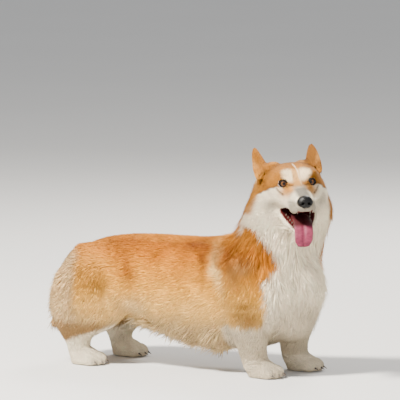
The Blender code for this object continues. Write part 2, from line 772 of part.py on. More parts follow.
def ear_form(side, grow=0.0):
    """A cupped ear: a thin sheet bent round its own long axis."""
    root, tip, faces = EARS[side]
    root, tip = Vector(root), Vector(tip)
    axis = (tip - root).normalized()
    opening = Vector((math.cos(faces), math.sin(faces), 0))
    opening = (opening - axis * opening.dot(axis)).normalized()
    across = axis.cross(opening)
    segments = 6
    rings = []
    for share, half, curl in EAR:
        centre = root.lerp(tip, share)
        wall = EAR_WALL * (1.0 - 0.35 * share)
        inner, outer = [], []
        for i in range(segments + 1):
            t = -1 + 2 * i / segments
            edge = 1 - abs(t) ** 6 * 0.35
            at = centre + across * (half + grow) * t + opening * curl * (t * t - 0.5)
            normal = (opening - across * (2 * curl * t / half)).normalized()
            outer.append(tuple(at - normal * (wall * edge / 2 + grow)))
            inner.append(tuple(at + normal * (wall * edge / 2 + grow)))
        rings.append(outer + inner[::-1])
    made = loft(rings, bent=True)
    made.transform(head_matrix())
    return made


def tail_form(grow=0.0):
    """The short, docked tail: a stub that lies on the rump."""
    rows = smooth_rows(TAIL, 2)
    rings = []
    for i, (x, z, radius) in enumerate(rows):
        before, after = rows[max(i - 1, 0)], rows[min(i + 1, len(rows) - 1)]
        along = Vector((after[0] - before[0], 0, after[1] - before[1])).normalized()
        rise = Vector((-along.z, 0, along.x))
        wide, deep = radius * 0.95 + grow, radius * 0.8 + grow
        rings.append(egg_ring((x, 0, z), (0, 1, 0), tuple(rise), wide, deep, deep, 12))
    return loft(rings)


def claw_form(x, y, yaw, toe, grow=0.0):
    """A short claw that curves down from the toe's end and stays clear of the floor."""
    forward, aside = toe
    rings = []
    for share in (0.0, 0.55, 1.0):
        place = forward + 0.0045 + CLAW_LENGTH * share
        level = 0.0105 - 0.0060 * share**1.5
        radius = CLAW_RADIUS * (1 - 0.72 * share) + grow
        rings.append(
            [
                (place, aside + radius * math.cos(a) * 0.8, level + radius * math.sin(a))
                for a in np.arange(6) * math.pi / 3
            ]
        )
    made = loft(rings)
    made.transform(Matrix.Translation((x, y, 0)) @ Matrix.Rotation(yaw, 4, "Z"))
    return made


def spread(points, chance, spacing, draw):
    """Indices of points that lie at least the spacing apart, drawn at random where chance is high."""
    chosen = []
    places = np.empty((0, 3))
    for i in draw.permutation(np.flatnonzero(chance > 0.45)):
        if len(places) == 0 or ((places - points[i]) ** 2).sum(axis=1).min() > spacing**2:
            chosen.append(i)
            places = np.vstack([places, points[i]])
    return chosen


def lock_form(root, bend, tip, normal, width, thickness):
    """A flat, tapered lock with a low ridge, along a curve from its root to its tip."""
    rings = []
    for share, wide, thick in LOCK_SHAPE:
        place = root * (1 - share) ** 2 + bend * 2 * share * (1 - share) + tip * share**2
        along = ((bend - root) * (1 - share) + (tip - bend) * share).normalized()
        across = along.cross(normal).normalized()
        rise = across.cross(along)
        wide, thick = wide * width / 2, thick * thickness / 2
        rings.append([place + across * wide, place + rise * thick * 1.4, place - across * wide])
    made = bmesh.new()
    loops = [[made.verts.new(point) for point in ring] for ring in rings]
    end = made.verts.new(tip)
    for first, second in zip(loops, loops[1:]):
        for i in range(3):
            j = (i + 1) % 3
            made.faces.new((first[i], first[j], second[j]))
            made.faces.new((first[i], second[j], second[i]))
    for i in range(3):
        made.faces.new((loops[-1][i], loops[-1][(i + 1) % 3], end))
    made.faces.new(loops[0])
    bmesh.ops.recalc_face_normals(made, faces=made.faces)
    return made


def lock_forms(outline, points, normals):
    """The locks of every zone: each grows from the core, lies along the coat and ends at the outline."""
    draw = np.random.default_rng(28)
    shares = long_coat(points)
    forms = []
    for zone, (spacing, length, width, thickness, depth, lie) in LOCKS.items():
        for i in spread(points, shares[zone], spacing, draw):
            place, normal = Vector(points[i]), Vector(normals[i])
            way = (Vector(lie) + Vector(draw.normal(0, 0.16, 3))).normalized()
            if zone == "fringe":
                way.y += 0.25 * normal.y
            reach = length * draw.uniform(0.82, 1.15)
            tip, tip_normal, _, _ = outline.find_nearest(place + way * reach)
            bend, bend_normal, _, _ = outline.find_nearest(place + way * reach * 0.42)
            middle = (bend + tip) / 2
            near, near_normal, _, _ = outline.find_nearest(middle)
            if (middle - near).dot(near_normal) > 0.010:
                continue
            root = place - normal * (depth + LOCK_SINK)
            tip = tip + tip_normal * draw.uniform(-0.001, 0.002)
            bend = bend + bend_normal * draw.uniform(-0.001, 0.002)
            wide = width * draw.uniform(0.85, 1.15)
            forms.append(lock_form(root, bend, tip, bend_normal, wide, thickness * draw.uniform(0.85, 1.1)))
    return forms


def shrink_to_core(obj, points, normals):
    """Draws the surface in where locks grow, to the core under them."""
    inward = np.zeros(len(points))
    for zone, share in long_coat(points).items():
        inward = np.maximum(inward, share * LOCKS[zone][4])
    obj.data.vertices.foreach_set("co", (points - normals * inward[:, None]).ravel())
    obj.data.update()


def fuse_locks(obj, forms):
    """Joins every lock to obj in one union."""
    bunch = bpy.data.collections.new("locks")
    bpy.context.scene.collection.children.link(bunch)
    for form in forms:
        lock = joined([form], "lock")
        bpy.context.scene.collection.objects.unlink(lock)
        bunch.objects.link(lock)
    modifier = obj.modifiers.new("locks", "BOOLEAN")
    modifier.operation = "UNION"
    modifier.solver = "MANIFOLD"
    modifier.operand_type = "COLLECTION"
    modifier.collection = bunch
    bake_modifiers(obj)
    for lock in list(bunch.objects):
        remove(lock)
    bpy.data.collections.remove(bunch)
    keep_largest(obj)


def grow_locks(whole):
    """Draws whole in to its core, thins it out and fuses the locks of the long coat with it."""
    points = points_of(whole.data)
    normals = np.empty(len(points) * 3)
    whole.data.vertices.foreach_get("normal", normals)
    normals = normals.reshape(-1, 3)
    outline = BVHTree.FromPolygons(points.tolist(), [tuple(face.vertices) for face in whole.data.polygons])
    forms = lock_forms(outline, points, normals)
    shrink_to_core(whole, points, normals)
    thin_out(whole, 1700, 920, 1000)
    fuse_locks(whole, forms)


def flatten_soles(obj):
    """Cuts the paws flat at the floor, all four at one level."""
    cutter = wedge((-0.6, -0.6, -0.2), (0.6, 0.6, 0.0), Matrix.Identity(4))
    boolean(obj, "DIFFERENCE", cutter)
    remove(cutter)


def material(name, colour, roughness):
    made = bpy.data.materials.new(name)
    made.use_nodes = True
    shader = made.node_tree.nodes["Principled BSDF"]
    shader.inputs["Base Color"].default_value = (*colour, 1)
    shader.inputs["Roughness"].default_value = roughness
    return made


def finish(obj, name, finish_name, angle=50):
    """Names the node, gives it its finish and smooth shading, and moves it into the frame."""
    obj.name = name
    obj.data.name = name
    obj.data.transform(Matrix.Translation(-FRAME_ORIGIN))
    obj.data.materials.clear()
    obj.data.materials.append(bpy.data.materials[finish_name])
    obj.data.shade_smooth()
    obj.data.set_sharp_from_angle(angle=math.radians(angle))


def part_head(whole):
    """Opens the mouth and the slots in whole, cuts the head from it and returns the head with its pieces."""
    palate = barrel(PALATE, points=14, steps=1)
    palate.transform(head_matrix())
    jaw_shape = barrel(JAW, points=18, steps=1)
    jaw_shape.transform(jaw_matrix())
    jaw_room = barrel(JAW, GAP, points=18, steps=1)
    jaw_room.transform(jaw_matrix())
    trough = barrel(JAW_TROUGH, points=14, steps=1)
    trough.transform(jaw_matrix())
    cut_by(whole, [palate, jaw_room, nose_form(GAP), ear_form(1, GAP), ear_form(-1, GAP)])
    head = carve(whole, "head", (-0.062, -0.12, -0.074), (0.20, 0.12, 0.14), head_matrix(), slant=-0.55)
    joined_to(head, upper_teeth())
    cut_by(head, [tongue_form(GAP)])
    jaw = joined([jaw_shape], "lower_jaw")
    cut_by(jaw, [trough])
    joined_to(jaw, lower_teeth())
    cut_by(jaw, [tongue_form(GAP)])
    tongue = joined([tongue_form()], "tongue")
    nose = joined([nose_form()], "nose")
    for side in (1, -1):
        cut_by(nose, nostril(side))
    pieces = {"lower_jaw": (jaw, "white"), "tongue": (tongue, "tongue"), "nose": (nose, "nose")}
    for side, word in ((1, "left"), (-1, "right")):
        cut_by(head, [eye_opening(side)])
        joined_to(head, [eyelids(side)])
        cut_by(head, [eyeball(side, GAP)])
        pieces["eye_" + word] = (joined([eyeball(side)], "eye"), "eye")
        pieces["ear_" + word] = (joined([ear_form(side)], "ear"), "red")
    pieces["head"] = (head, "red")
    return pieces


def part_legs(whole):
    """Cuts the paws, the legs and the thighs from the body, with the claws let into the paws."""
    pieces = {}
    for name, x, y, yaw in paw_places():
        low = (x - 0.075, y - 0.045, -0.01)
        high = (x + 0.075, y + 0.045, 0.030)
        foot = carve(whole, name + "_paw", low, high)
        for n, toe in enumerate(toe_places(), 1):
            cut_by(foot, [claw_form(x, y, yaw, toe, GAP)])
            claw = joined([claw_form(x, y, yaw, toe)], "claw")
            pieces[f"{name}_claw_{n}"] = (claw, "claw")
        pieces[name + "_paw"] = (foot, "white")
    for side, word in ((1, "left"), (-1, "right")):
        ahead = LEFT_FORELEG_AHEAD * (side > 0)
        inner, outer = sorted((side * 0.034, side * 0.140))
        leg = carve(whole, "foreleg", (0.080 + ahead, inner, 0.0), (0.225 + ahead, outer, 0.118))
        pieces["foreleg_" + word] = (leg, "white")
        ahead = LEFT_HINDLEG_AHEAD * (side > 0)
        shank = carve(whole, "hock", (-0.340, inner, 0.0), (-0.150 + ahead, outer, 0.066))
        pieces["hock_" + word] = (shank, "cream")
        upper = carve(whole, "thigh", (-0.340, inner, 0.0), (-0.125 + ahead, outer, 0.205))
        pieces["thigh_" + word] = (upper, "red")
    return pieces


def part_trunk(whole):
    """Cuts the tail, neck, chest and rump from what is left, which is the belly and back."""
    pieces = {}
    cut_by(whole, [tail_form(GAP)])
    pieces["tail"] = (joined([tail_form()], "tail"), "red")
    neck = carve(whole, "neck", (-0.3, -0.2, 0.0), (0.3, 0.2, 0.4), NECK_BASE)
    pieces["neck"] = (neck, "white")
    chest = carve(whole, "chest", (0.055, -0.2, -0.1), (0.400, 0.2, 0.6))
    pieces["chest"] = (chest, "white")
    rump = carve(whole, "rump", (-0.500, -0.2, -0.1), (-0.150, 0.2, 0.6))
    pieces["rump"] = (rump, "red")
    whole.name = "belly"
    pieces["belly"] = (whole, "red")
    return pieces


def main():
    for obj in list(bpy.data.objects):
        bpy.data.objects.remove(obj)
    for name, colour in COAT_COLOURS.items():
        material(name, colour, 0.35 if name in ("nose", "eye", "tongue", "claw") else 0.85)
    whole = joined(body_forms() + head_forms(), "whole")
    fuse(whole)
    touch_face(whole)
    grow_locks(whole)
    flatten_soles(whole)
    pieces = part_head(whole)
    pieces.update(part_legs(whole))
    pieces.update(part_trunk(whole))
    for name, (obj, finish_name) in pieces.items():
        finish(obj, name, finish_name)


main()
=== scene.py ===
"""Looks of the standing Pembroke Welsh corgi: one skin in place of the nodes of flesh, its coat of tufts and
locks, and the eyes, nose, mouth and claws. Metres, +Z up, +X the way the body faces, +Y the dog's left.

The coat's outer surface is made from the same stations as the solids. The skin lies under it by the coat's
depth, and every tuft grows from the skin, lies along the coat and ends near that outer surface.
"""

import math

import bmesh
import bpy
import numpy as np
from mathutils import Matrix, Vector
from mathutils.bvhtree import BVHTree
from mathutils.kdtree import KDTree


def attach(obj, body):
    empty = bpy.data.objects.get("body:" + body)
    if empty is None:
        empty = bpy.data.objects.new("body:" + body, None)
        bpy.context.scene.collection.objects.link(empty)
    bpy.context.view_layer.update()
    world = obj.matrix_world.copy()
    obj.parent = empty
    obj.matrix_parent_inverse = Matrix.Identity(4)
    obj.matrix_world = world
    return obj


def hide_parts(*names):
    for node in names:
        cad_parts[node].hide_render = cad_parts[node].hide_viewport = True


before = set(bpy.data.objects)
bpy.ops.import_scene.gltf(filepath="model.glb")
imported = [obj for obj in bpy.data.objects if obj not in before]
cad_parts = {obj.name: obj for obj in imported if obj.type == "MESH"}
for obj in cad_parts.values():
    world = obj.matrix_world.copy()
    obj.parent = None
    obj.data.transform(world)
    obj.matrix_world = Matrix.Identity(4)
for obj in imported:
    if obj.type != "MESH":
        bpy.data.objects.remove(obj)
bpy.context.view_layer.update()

VOXEL = 0.0025  # grain of the fused coat surface
RING_POINTS = 40  # points around each loft
STEPS = 5  # rings between two stations of a loft
STANCE_REAR = 0.070  # sideways place of a hind paw
STANCE_FRONT = 0.060  # sideways place of a fore paw
LEFT_FORELEG_AHEAD = 0.027  # the left foreleg stands this far ahead of the right
LEFT_HINDLEG_AHEAD = 0.018
HEAD_CENTRE = Vector((0.2275, -0.0413, 0.390))  # between the eyes' level and the ears
HEAD_YAW = math.radians(-53)
HEAD_ROLL = math.radians(3)
EYE_RADIUS = 0.0106
EYE_OPENING = (0.0084, 0.0060)  # half width and half height between the lids
EYE_PLACE = (0.0408, 0.0260, -0.0015)  # forward, outward and up from the head's centre
JAW_HINGE = (0.000, 0.0, -0.043)
JAW_OPEN = math.radians(30)
NOSE_PLACE = (0.1150, 0.0, -0.0315)
NOSE_HALF = (0.0120, 0.0155, 0.0125)
# Origin of the frame, measured from the stations' own origin
FRAME_ORIGIN = Vector((0.0030, -0.0170, 0.0))
# Torso: along, lowest, widest level, highest, half width
TORSO = (
    (-0.288, 0.128, 0.160, 0.190, 0.040),
    (-0.262, 0.104, 0.165, 0.226, 0.066),
    (-0.225, 0.098, 0.170, 0.248, 0.080),
    (-0.165, 0.096, 0.165, 0.2595, 0.085),
    (-0.100, 0.078, 0.155, 0.2630, 0.088),
    (-0.040, 0.060, 0.150, 0.2630, 0.092),
    (0.020, 0.049, 0.148, 0.2640, 0.095),
    (0.075, 0.045, 0.150, 0.2720, 0.096),
    (0.130, 0.047, 0.155, 0.2850, 0.094),
    (0.185, 0.064, 0.160, 0.2900, 0.088),
    (0.225, 0.088, 0.165, 0.2650, 0.073),
    (0.248, 0.122, 0.170, 0.2300, 0.048),
)
# Neck and ruff: level, centre along, centre aside, yaw in degrees, half across, half ahead, half behind
NECK = (
    (0.175, 0.158, 0.000, 0, 0.080, 0.080, 0.080),
    (0.210, 0.162, -0.001, -10, 0.088, 0.082, 0.086),
    (0.240, 0.170, -0.003, -24, 0.091, 0.079, 0.084),
    (0.270, 0.180, -0.005, -36, 0.091, 0.074, 0.080),
    (0.305, 0.197, -0.009, -47, 0.089, 0.070, 0.074),
    (0.328, 0.204, -0.013, -53, 0.086, 0.064, 0.070),
    (0.348, 0.207, -0.015, -53, 0.079, 0.054, 0.066),
    (0.370, 0.207, -0.016, -53, 0.071, 0.046, 0.060),
    (0.388, 0.206, -0.016, -53, 0.067, 0.038, 0.052),
)
# Thigh with its breeches: level, foremost, rearmost, out, half width
THIGH = (
    (0.232, -0.190, -0.262, 0.040, 0.034),
    (0.205, -0.158, -0.282, 0.048, 0.042),
    (0.170, -0.140, -0.298, 0.054, 0.045),
    (0.130, -0.133, -0.306, 0.058, 0.044),
    (0.098, -0.142, -0.302, 0.061, 0.038),
    (0.074, -0.166, -0.290, 0.066, 0.032),
    (0.056, -0.206, -0.277, 0.070, 0.026),
    (0.038, -0.216, -0.264, 0.070, 0.0215),
    (0.018, -0.212, -0.258, 0.070, 0.0215),
)
# Foreleg: level, along, out, half along, half across
FORELEG = (
    (0.150, 0.150, 0.074, 0.050, 0.034),
    (0.120, 0.149, 0.077, 0.047, 0.034),
    (0.095, 0.149, 0.075, 0.041, 0.033),
    (0.070, 0.150, 0.069, 0.033, 0.029),
    (0.048, 0.151, 0.063, 0.0285, 0.0265),
    (0.030, 0.155, 0.060, 0.0265, 0.0260),
    (0.016, 0.160, 0.060, 0.0260, 0.0260),
)
# Cranium and cheeks, then muzzle: forward, lowest, widest level, highest, half width
CRANIUM = (
    (-0.076, -0.040, -0.012, 0.006, 0.0280),
    (-0.055, -0.056, -0.012, 0.024, 0.0480),
    (-0.025, -0.062, -0.012, 0.0325, 0.0575),
    (0.005, -0.061, -0.012, 0.0330, 0.0575),
    (0.028, -0.057, -0.014, 0.0285, 0.0515),
    (0.044, -0.054, -0.018, 0.0175, 0.0410),
    (0.058, -0.053, -0.026, 0.0035, 0.0290),
)
MUZZLE = (
    (0.030, -0.054, -0.028, 0.0060, 0.0360),
    (0.055, -0.056, -0.034, -0.0020, 0.0295),
    (0.080, -0.057, -0.036, -0.0095, 0.0250),
    (0.100, -0.056, -0.037, -0.0145, 0.0220),
    (0.113, -0.053, -0.038, -0.0190, 0.0185),
    (0.120, -0.048, -0.038, -0.0260, 0.0120),
)
# Lower jaw, along its own axis from the hinge: along, lowest, widest level, highest, half width
JAW = (
    (0.012, -0.020, -0.004, 0.0070, 0.0390),
    (0.035, -0.020, -0.003, 0.0060, 0.0385),
    (0.055, -0.019, -0.002, 0.0050, 0.0345),
    (0.072, -0.017, -0.002, 0.0050, 0.0280),
    (0.088, -0.014, -0.002, 0.0050, 0.0205),
    (0.098, -0.010, -0.001, 0.0040, 0.0145),
)
# Floor of the mouth, cut into the jaw from above
JAW_TROUGH = (
    (0.005, -0.0080, 0.010, 0.0300, 0.0340),
    (0.035, -0.0080, 0.010, 0.0300, 0.0335),
    (0.055, -0.0075, 0.010, 0.0300, 0.0295),
    (0.072, -0.0070, 0.010, 0.0300, 0.0235),
    (0.088, -0.0055, 0.010, 0.0300, 0.0165),
    (0.096, -0.0035, 0.010, 0.0300, 0.0110),
)
# Tongue: forward, aside, up, half width, half thickness
TONGUE = (
    (0.030, 0.0000, -0.0660, 0.0140, 0.0040),
    (0.055, -0.0005, -0.0680, 0.0165, 0.0045),
    (0.080, -0.0010, -0.0720, 0.0175, 0.0045),
    (0.096, -0.0020, -0.0810, 0.0180, 0.0042),
    (0.105, -0.0035, -0.0950, 0.0180, 0.0038),
    (0.109, -0.0050, -0.1070, 0.0170, 0.0034),
    (0.110, -0.0058, -0.1150, 0.0125, 0.0028),
)
# Ear: share of the length, half width, how far its rims curl forward of its back
EAR = (
    (0.00, 0.0255, 0.0180),
    (0.22, 0.0252, 0.0172),
    (0.42, 0.0230, 0.0145),
    (0.60, 0.0193, 0.0108),
    (0.76, 0.0148, 0.0070),
    (0.89, 0.0095, 0.0034),
    (0.97, 0.0045, 0.0010),
)
EAR_WALL = 0.0032
# Of the left and right ear: middle of the root and tip, forward, aside and up, and the way its opening faces
EARS = {
    1: ((-0.022, 0.0400, 0.0020), (-0.055, 0.0480, 0.0640), math.radians(120)),
    -1: ((-0.022, -0.0470, 0.0010), (-0.055, -0.0650, 0.0640), math.radians(-134)),
}
TAIL = ((-0.250, 0.212, 0.018), (-0.270, 0.200, 0.018), (-0.286, 0.185, 0.015), (-0.296, 0.172, 0.010))
TOE_RADIUS = 0.0115
CLAW_LENGTH = 0.0130
CLAW_RADIUS = 0.0026


def head_matrix():
    turn = Matrix.Rotation(HEAD_YAW, 4, "Z") @ Matrix.Rotation(HEAD_ROLL, 4, "X")
    return Matrix.Translation(HEAD_CENTRE) @ turn


def jaw_matrix():
    return head_matrix() @ Matrix.Translation(JAW_HINGE) @ Matrix.Rotation(JAW_OPEN, 4, "Y")


def smooth_rows(rows, steps=STEPS):
    """The rows of numbers with more rows between them, read from a Catmull-Rom curve through them."""
    rows = np.array(rows, float)
    padded = np.vstack([2 * rows[0] - rows[1], rows, 2 * rows[-1] - rows[-2]])
    filled = []
    for i in range(len(rows) - 1):
        a, b, c, d = padded[i : i + 4]
        for t in np.arange(steps) / steps:
            filled.append(
                0.5 * (2 * b + (c - a) * t + (2 * a - 5 * b + 4 * c - d) * t**2
                       + (3 * b - a - 3 * c + d) * t**3)
            )
    filled.append(rows[-1])
    return np.array(filled)


def round_ends(rows, sizes, along=0, share=0.45, rings=3):
    """Rows with a few smaller rings before the first and after the last, so that a loft ends in a dome.

    sizes lists the columns that shrink, and share is how long the dome is against the first size."""

    def dome(end, inner):
        direction = np.sign(end[along] - inner[along])
        length = share * end[sizes[0]]
        made = []
        for angle in np.linspace(0, math.pi / 2, rings + 2)[1:-1]:
            row = end.copy()
            row[along] += direction * length * math.sin(angle)
            row[list(sizes)] *= math.cos(angle)
            made.append(row)
        return made

    return np.vstack([dome(rows[0], rows[1])[::-1], rows, dome(rows[-1], rows[-2])])


def loft(rings, bent=False):
    """A closed bmesh through rings of points, with fans at its ends, or strips on a bent sheet's ring."""
    made = bmesh.new()
    loops = [[made.verts.new(p) for p in ring] for ring in rings]
    for first, second in zip(loops, loops[1:]):
        for i in range(len(first)):
            j = (i + 1) % len(first)
            made.faces.new((first[i], first[j], second[j], second[i]))
    for ring, loop in ((rings[0], loops[0]), (rings[-1], loops[-1])):
        if bent:
            for i in range(len(loop) // 2 - 1):
                made.faces.new((loop[i], loop[i + 1], loop[-2 - i], loop[-1 - i]))
            continue
        middle = made.verts.new(np.mean(ring, axis=0))
        for i in range(len(loop)):
            made.faces.new((loop[i], loop[(i + 1) % len(loop)], middle))
    bmesh.ops.recalc_face_normals(made, faces=made.faces)
    return made


def egg_ring(centre, across, upward, half_width, above, below, points=RING_POINTS, square=2.3):
    """A ring that is rounder than a box and fuller than an ellipse, with its own height above and below."""
    angles = np.arange(points) * 2 * math.pi / points
    side = np.sign(np.cos(angles)) * np.abs(np.cos(angles)) ** (2 / square) * half_width
    rise = np.sign(np.sin(angles)) * np.abs(np.sin(angles)) ** (2 / square)
    rise = np.where(rise > 0, rise * above, rise * below)
    return np.array(centre) + np.outer(side, across) + np.outer(rise, upward)


def barrel(stations, points=RING_POINTS, steps=STEPS):
    """A loft along X whose stations give place, lowest, widest level, highest and half width."""
    rows = smooth_rows(stations, steps)
    middle = rows[:, 2]
    rows = np.column_stack([rows[:, 0], middle, rows[:, 4], rows[:, 3] - middle, middle - rows[:, 1]])
    rows = round_ends(rows, (2, 3, 4), rings=3 if points > 30 else 2)
    rings = [
        egg_ring((x, 0, z), (0, 1, 0), (0, 0, 1), half, above, below, points)
        for x, z, half, above, below in rows
    ]
    return loft(rings)


def collar():
    """The neck with its ruff: level rings that turn with the head as they rise."""
    rings = []
    for z, x, y, yaw, across, ahead, behind in round_ends(smooth_rows(NECK, 3), (4, 5, 6), share=0.2):
        angle = math.radians(yaw)
        forward = (math.cos(angle), math.sin(angle), 0)
        left = (-math.sin(angle), math.cos(angle), 0)
        rings.append(egg_ring((x, y, z), left, forward, across, ahead, behind))
    return loft(rings)


def thigh(side):
    """The hind leg from the rump to the pastern, side 1 for the left and -1 for the right."""
    ahead = LEFT_HINDLEG_AHEAD * (side > 0)
    rings = []
    for z, front, back, out, half in round_ends(smooth_rows(THIGH), (4,), share=0.3):
        middle, reach = (front + back) / 2 + ahead, (front - back) / 2
        shrink = min(1.0, half / 0.018)
        deep = reach * shrink
        rings.append(egg_ring((middle, side * out, z), (0, 1, 0), (1, 0, 0), half, deep, deep))
    return loft(rings)


def foreleg(side):
    ahead = LEFT_FORELEG_AHEAD * (side > 0)
    rings = [
        egg_ring((x + ahead, side * y, z), (0, 1, 0), (1, 0, 0), across, along, along)
        for z, x, y, along, across in round_ends(smooth_rows(FORELEG), (3, 4), share=0.3)
    ]
    return loft(rings)


def blob(centre, half, turn=0.0, around=28):
    """An ellipsoid, turned about Y."""
    made = bmesh.new()
    bmesh.ops.create_uvsphere(made, u_segments=around, v_segments=around // 2 + 1, radius=1)
    place = Matrix.Translation(centre) @ Matrix.Rotation(turn, 4, "Y") @ Matrix.Diagonal((*half, 1))
    made.transform(place)
    return made


def paw_places():
    """Forward place, sideways place and yaw of each paw."""
    front, rear = 0.172, -0.222
    return (
        (front, -STANCE_FRONT, math.radians(-6)),
        (front + LEFT_FORELEG_AHEAD, STANCE_FRONT, math.radians(6)),
        (rear, -STANCE_REAR, math.radians(-4)),
        (rear + LEFT_HINDLEG_AHEAD, STANCE_REAR, math.radians(4)),
    )


def toe_places():
    """Forward and sideways place of each toe from the paw's middle."""
    return ((0.0235, -0.0205), (0.0315, -0.0072), (0.0315, 0.0072), (0.0235, 0.0205))


def paw(x, y, yaw):
    """A low, round foot with four toes, as a list of closed pieces."""
    pieces = [blob((0, 0, 0.010), (0.034, 0.027, 0.026))]
    for forward, aside in toe_places():
        pieces.append(blob((forward - 0.004, aside, 0.0105), (0.0165, TOE_RADIUS * 0.86, 0.0145)))
    place = Matrix.Translation((x, y, 0)) @ Matrix.Rotation(yaw, 4, "Z")
    for piece in pieces:
        piece.transform(place)
    return pieces


def placed(pieces, matrix):
    for piece in pieces:
        piece.transform(matrix)
    return pieces


def head_forms():
    """The cranium, muzzle, brows, cheeks and lips, in the head's own frame."""
    forms = [barrel(CRANIUM), barrel(MUZZLE)]
    for side in (1, -1):
        forms.append(blob((0.030, side * 0.0260, 0.0150), (0.016, 0.0170, 0.0105)))
        forms.append(blob((0.030, side * 0.0320, -0.0220), (0.022, 0.0140, 0.0130)))
        forms.append(blob((-0.016, side * 0.0430, -0.0330), (0.040, 0.0270, 0.0330), math.radians(20)))
        forms.append(blob((0.085, side * 0.0125, -0.0450), (0.030, 0.0135, 0.0135)))
    return placed(forms, head_matrix())


# Hollows and swellings of the face: centre, reach and push, each forward, outward, up in the head's frame
FACE_TOUCHES = (
    ((0.052, 0.0285, -0.0010), 0.0115, (-0.0036, 0.0, 0.0)),
    ((0.058, 0.0000, 0.0040), 0.0160, (-0.0045, 0.0, -0.0020)),
    ((0.062, 0.0300, -0.0220), 0.0140, (0.0, -0.0040, 0.0)),
    ((0.030, 0.0460, -0.0520), 0.0130, (0.0, -0.0045, 0.0020)),
    ((0.020, 0.0000, 0.0340), 0.0140, (0.0, 0.0, -0.0020)),
    ((0.120, 0.0000, -0.0540), 0.0060, (-0.0020, 0.0, 0.0020)),
)


def touch_face(obj):
    """Pushes the points of the face in or out round the places listed above."""
    points = points_of(obj.data)
    turn = np.array(head_matrix().to_3x3())
    local = in_head(points)
    moved = local.copy()
    for centre, reach, push in FACE_TOUCHES:
        for side in (1, -1) if centre[1] else (1,):
            flip = np.array((1, side, 1))
            distance = np.linalg.norm(local - np.array(centre) * flip, axis=1)
            moved += np.exp(-((distance / reach) ** 2))[:, None] * np.array(push) * flip
    obj.data.vertices.foreach_set("co", (moved @ turn.T + np.array(HEAD_CENTRE)).ravel())
    obj.data.update()


def body_forms():
    forms = [barrel(TORSO), collar()]
    forms.append(blob((0.205, 0, 0.150), (0.049, 0.076, 0.088)))
    for side in (1, -1):
        forms += [thigh(side), foreleg(side)]
        ahead = LEFT_FORELEG_AHEAD * (side > 0) * 0.5
        forms.append(blob((0.128 + ahead, side * 0.066, 0.195), (0.058, 0.036, 0.085), math.radians(22)))
        forms.append(blob((0.165 + ahead, side * 0.072, 0.135), (0.054, 0.034, 0.046)))
    for x, y, yaw in paw_places():
        forms += paw(x, y, yaw)
    return forms


def joined(forms, name):
    """One mesh object that holds every piece, still as separate shells."""
    whole = bmesh.new()
    for form in forms:
        scratch = bpy.data.meshes.new("scratch")
        form.to_mesh(scratch)
        whole.from_mesh(scratch)
        bpy.data.meshes.remove(scratch)
        form.free()
    mesh = bpy.data.meshes.new(name)
    whole.to_mesh(mesh)
    whole.free()
    obj = bpy.data.objects.new(name, mesh)
    bpy.context.scene.collection.objects.link(obj)
    return obj


def bake_modifiers(obj):
    """The object's mesh replaced by what its modifiers make of it."""
    graph = bpy.context.evaluated_depsgraph_get()
    mesh = bpy.data.meshes.new_from_object(obj.evaluated_get(graph))
    obj.modifiers.clear()
    old = obj.data
    obj.data = mesh
    bpy.data.meshes.remove(old)


def points_of(mesh):
    found = np.empty(len(mesh.vertices) * 3)
    mesh.vertices.foreach_get("co", found)
    return found.reshape(-1, 3)


def face_share(points):
    """1 on the face, falling to 0 behind the ears and on the neck."""
    local = in_head(points)
    ahead = np.clip((local[:, 0] + 0.030) / 0.030, 0, 1)
    above = np.clip((local[:, 2] + 0.085) / 0.020, 0, 1)
    aside = np.clip((0.085 - np.abs(local[:, 1])) / 0.015, 0, 1)
    return ahead * above * aside


def paw_share(points):
    """1 at the floor, falling to 0 above the paws."""
    return np.clip((0.041 - points[:, 2]) / 0.006, 0, 1)


def ramp(values, start, end):
    """0 at start, 1 at end, with soft ends."""
    t = np.clip((values - start) / (end - start), 0, 1)
    return t * t * (3 - 2 * t)


def long_coat(points):
    """How much each zone of long coat covers each point."""
    x, _, z = points.T
    f, side, k = in_head(points).T
    below_face = np.maximum(ramp(k, -0.060, -0.085), ramp(f, -0.040, -0.062))
    neck = ramp(x + 0.55 * (z - 0.28), 0.065, 0.100) * ramp(z, 0.225, 0.255)
    neck = neck * below_face * ramp(k, 0.030, 0.008)
    bib = ramp(x + 0.25 * (z - 0.2), 0.175, 0.205) * ramp(z, 0.090, 0.115) * ramp(z, 0.262, 0.235)
    breeches = ramp(x, -0.232, -0.262) * ramp(z, 0.070, 0.092) * ramp(z, 0.215, 0.190)
    fringe = ramp(z, 0.112, 0.088) * ramp(x, -0.142, -0.120) * ramp(x, 0.108, 0.080)
    cheek = ramp(f, -0.062, -0.050) * ramp(f, 0.004, -0.010) * ramp(np.abs(side), 0.040, 0.054)
    cheek *= ramp(k, -0.078, -0.066) * ramp(k, 0.004, -0.010)
    return {"ruff": neck, "bib": bib, "breeches": breeches, "fringe": fringe, "cheek": cheek}


def weight_group(obj, name, weights):
    group = obj.vertex_groups.new(name=name)
    for level in range(1, 11):
        chosen = np.flatnonzero(np.round(weights * 10) == level)
        group.add(chosen.tolist(), level / 10, "REPLACE")


def fuse(obj):
    """Voxel remesh and smoothing, strong on the body and light on the face and feet."""
    remesh = obj.modifiers.new("fuse", "REMESH")
    remesh.mode = "VOXEL"
    remesh.voxel_size = VOXEL
    bake_modifiers(obj)
    points = points_of(obj.data)
    keep = np.maximum(face_share(points), paw_share(points))
    weight_group(obj, "soft", 1 - keep)
    for name, rounds, group in (("all", 7, ""), ("body", 34, "soft")):
        smooth = obj.modifiers.new(name, "SMOOTH")
        smooth.factor = 0.5
        smooth.iterations = rounds
        smooth.vertex_group = group
    bake_modifiers(obj)


def boolean(obj, operation, other):
    modifier = obj.modifiers.new(operation.lower(), "BOOLEAN")
    modifier.operation = operation
    modifier.solver = "MANIFOLD"
    modifier.object = other
    bake_modifiers(obj)


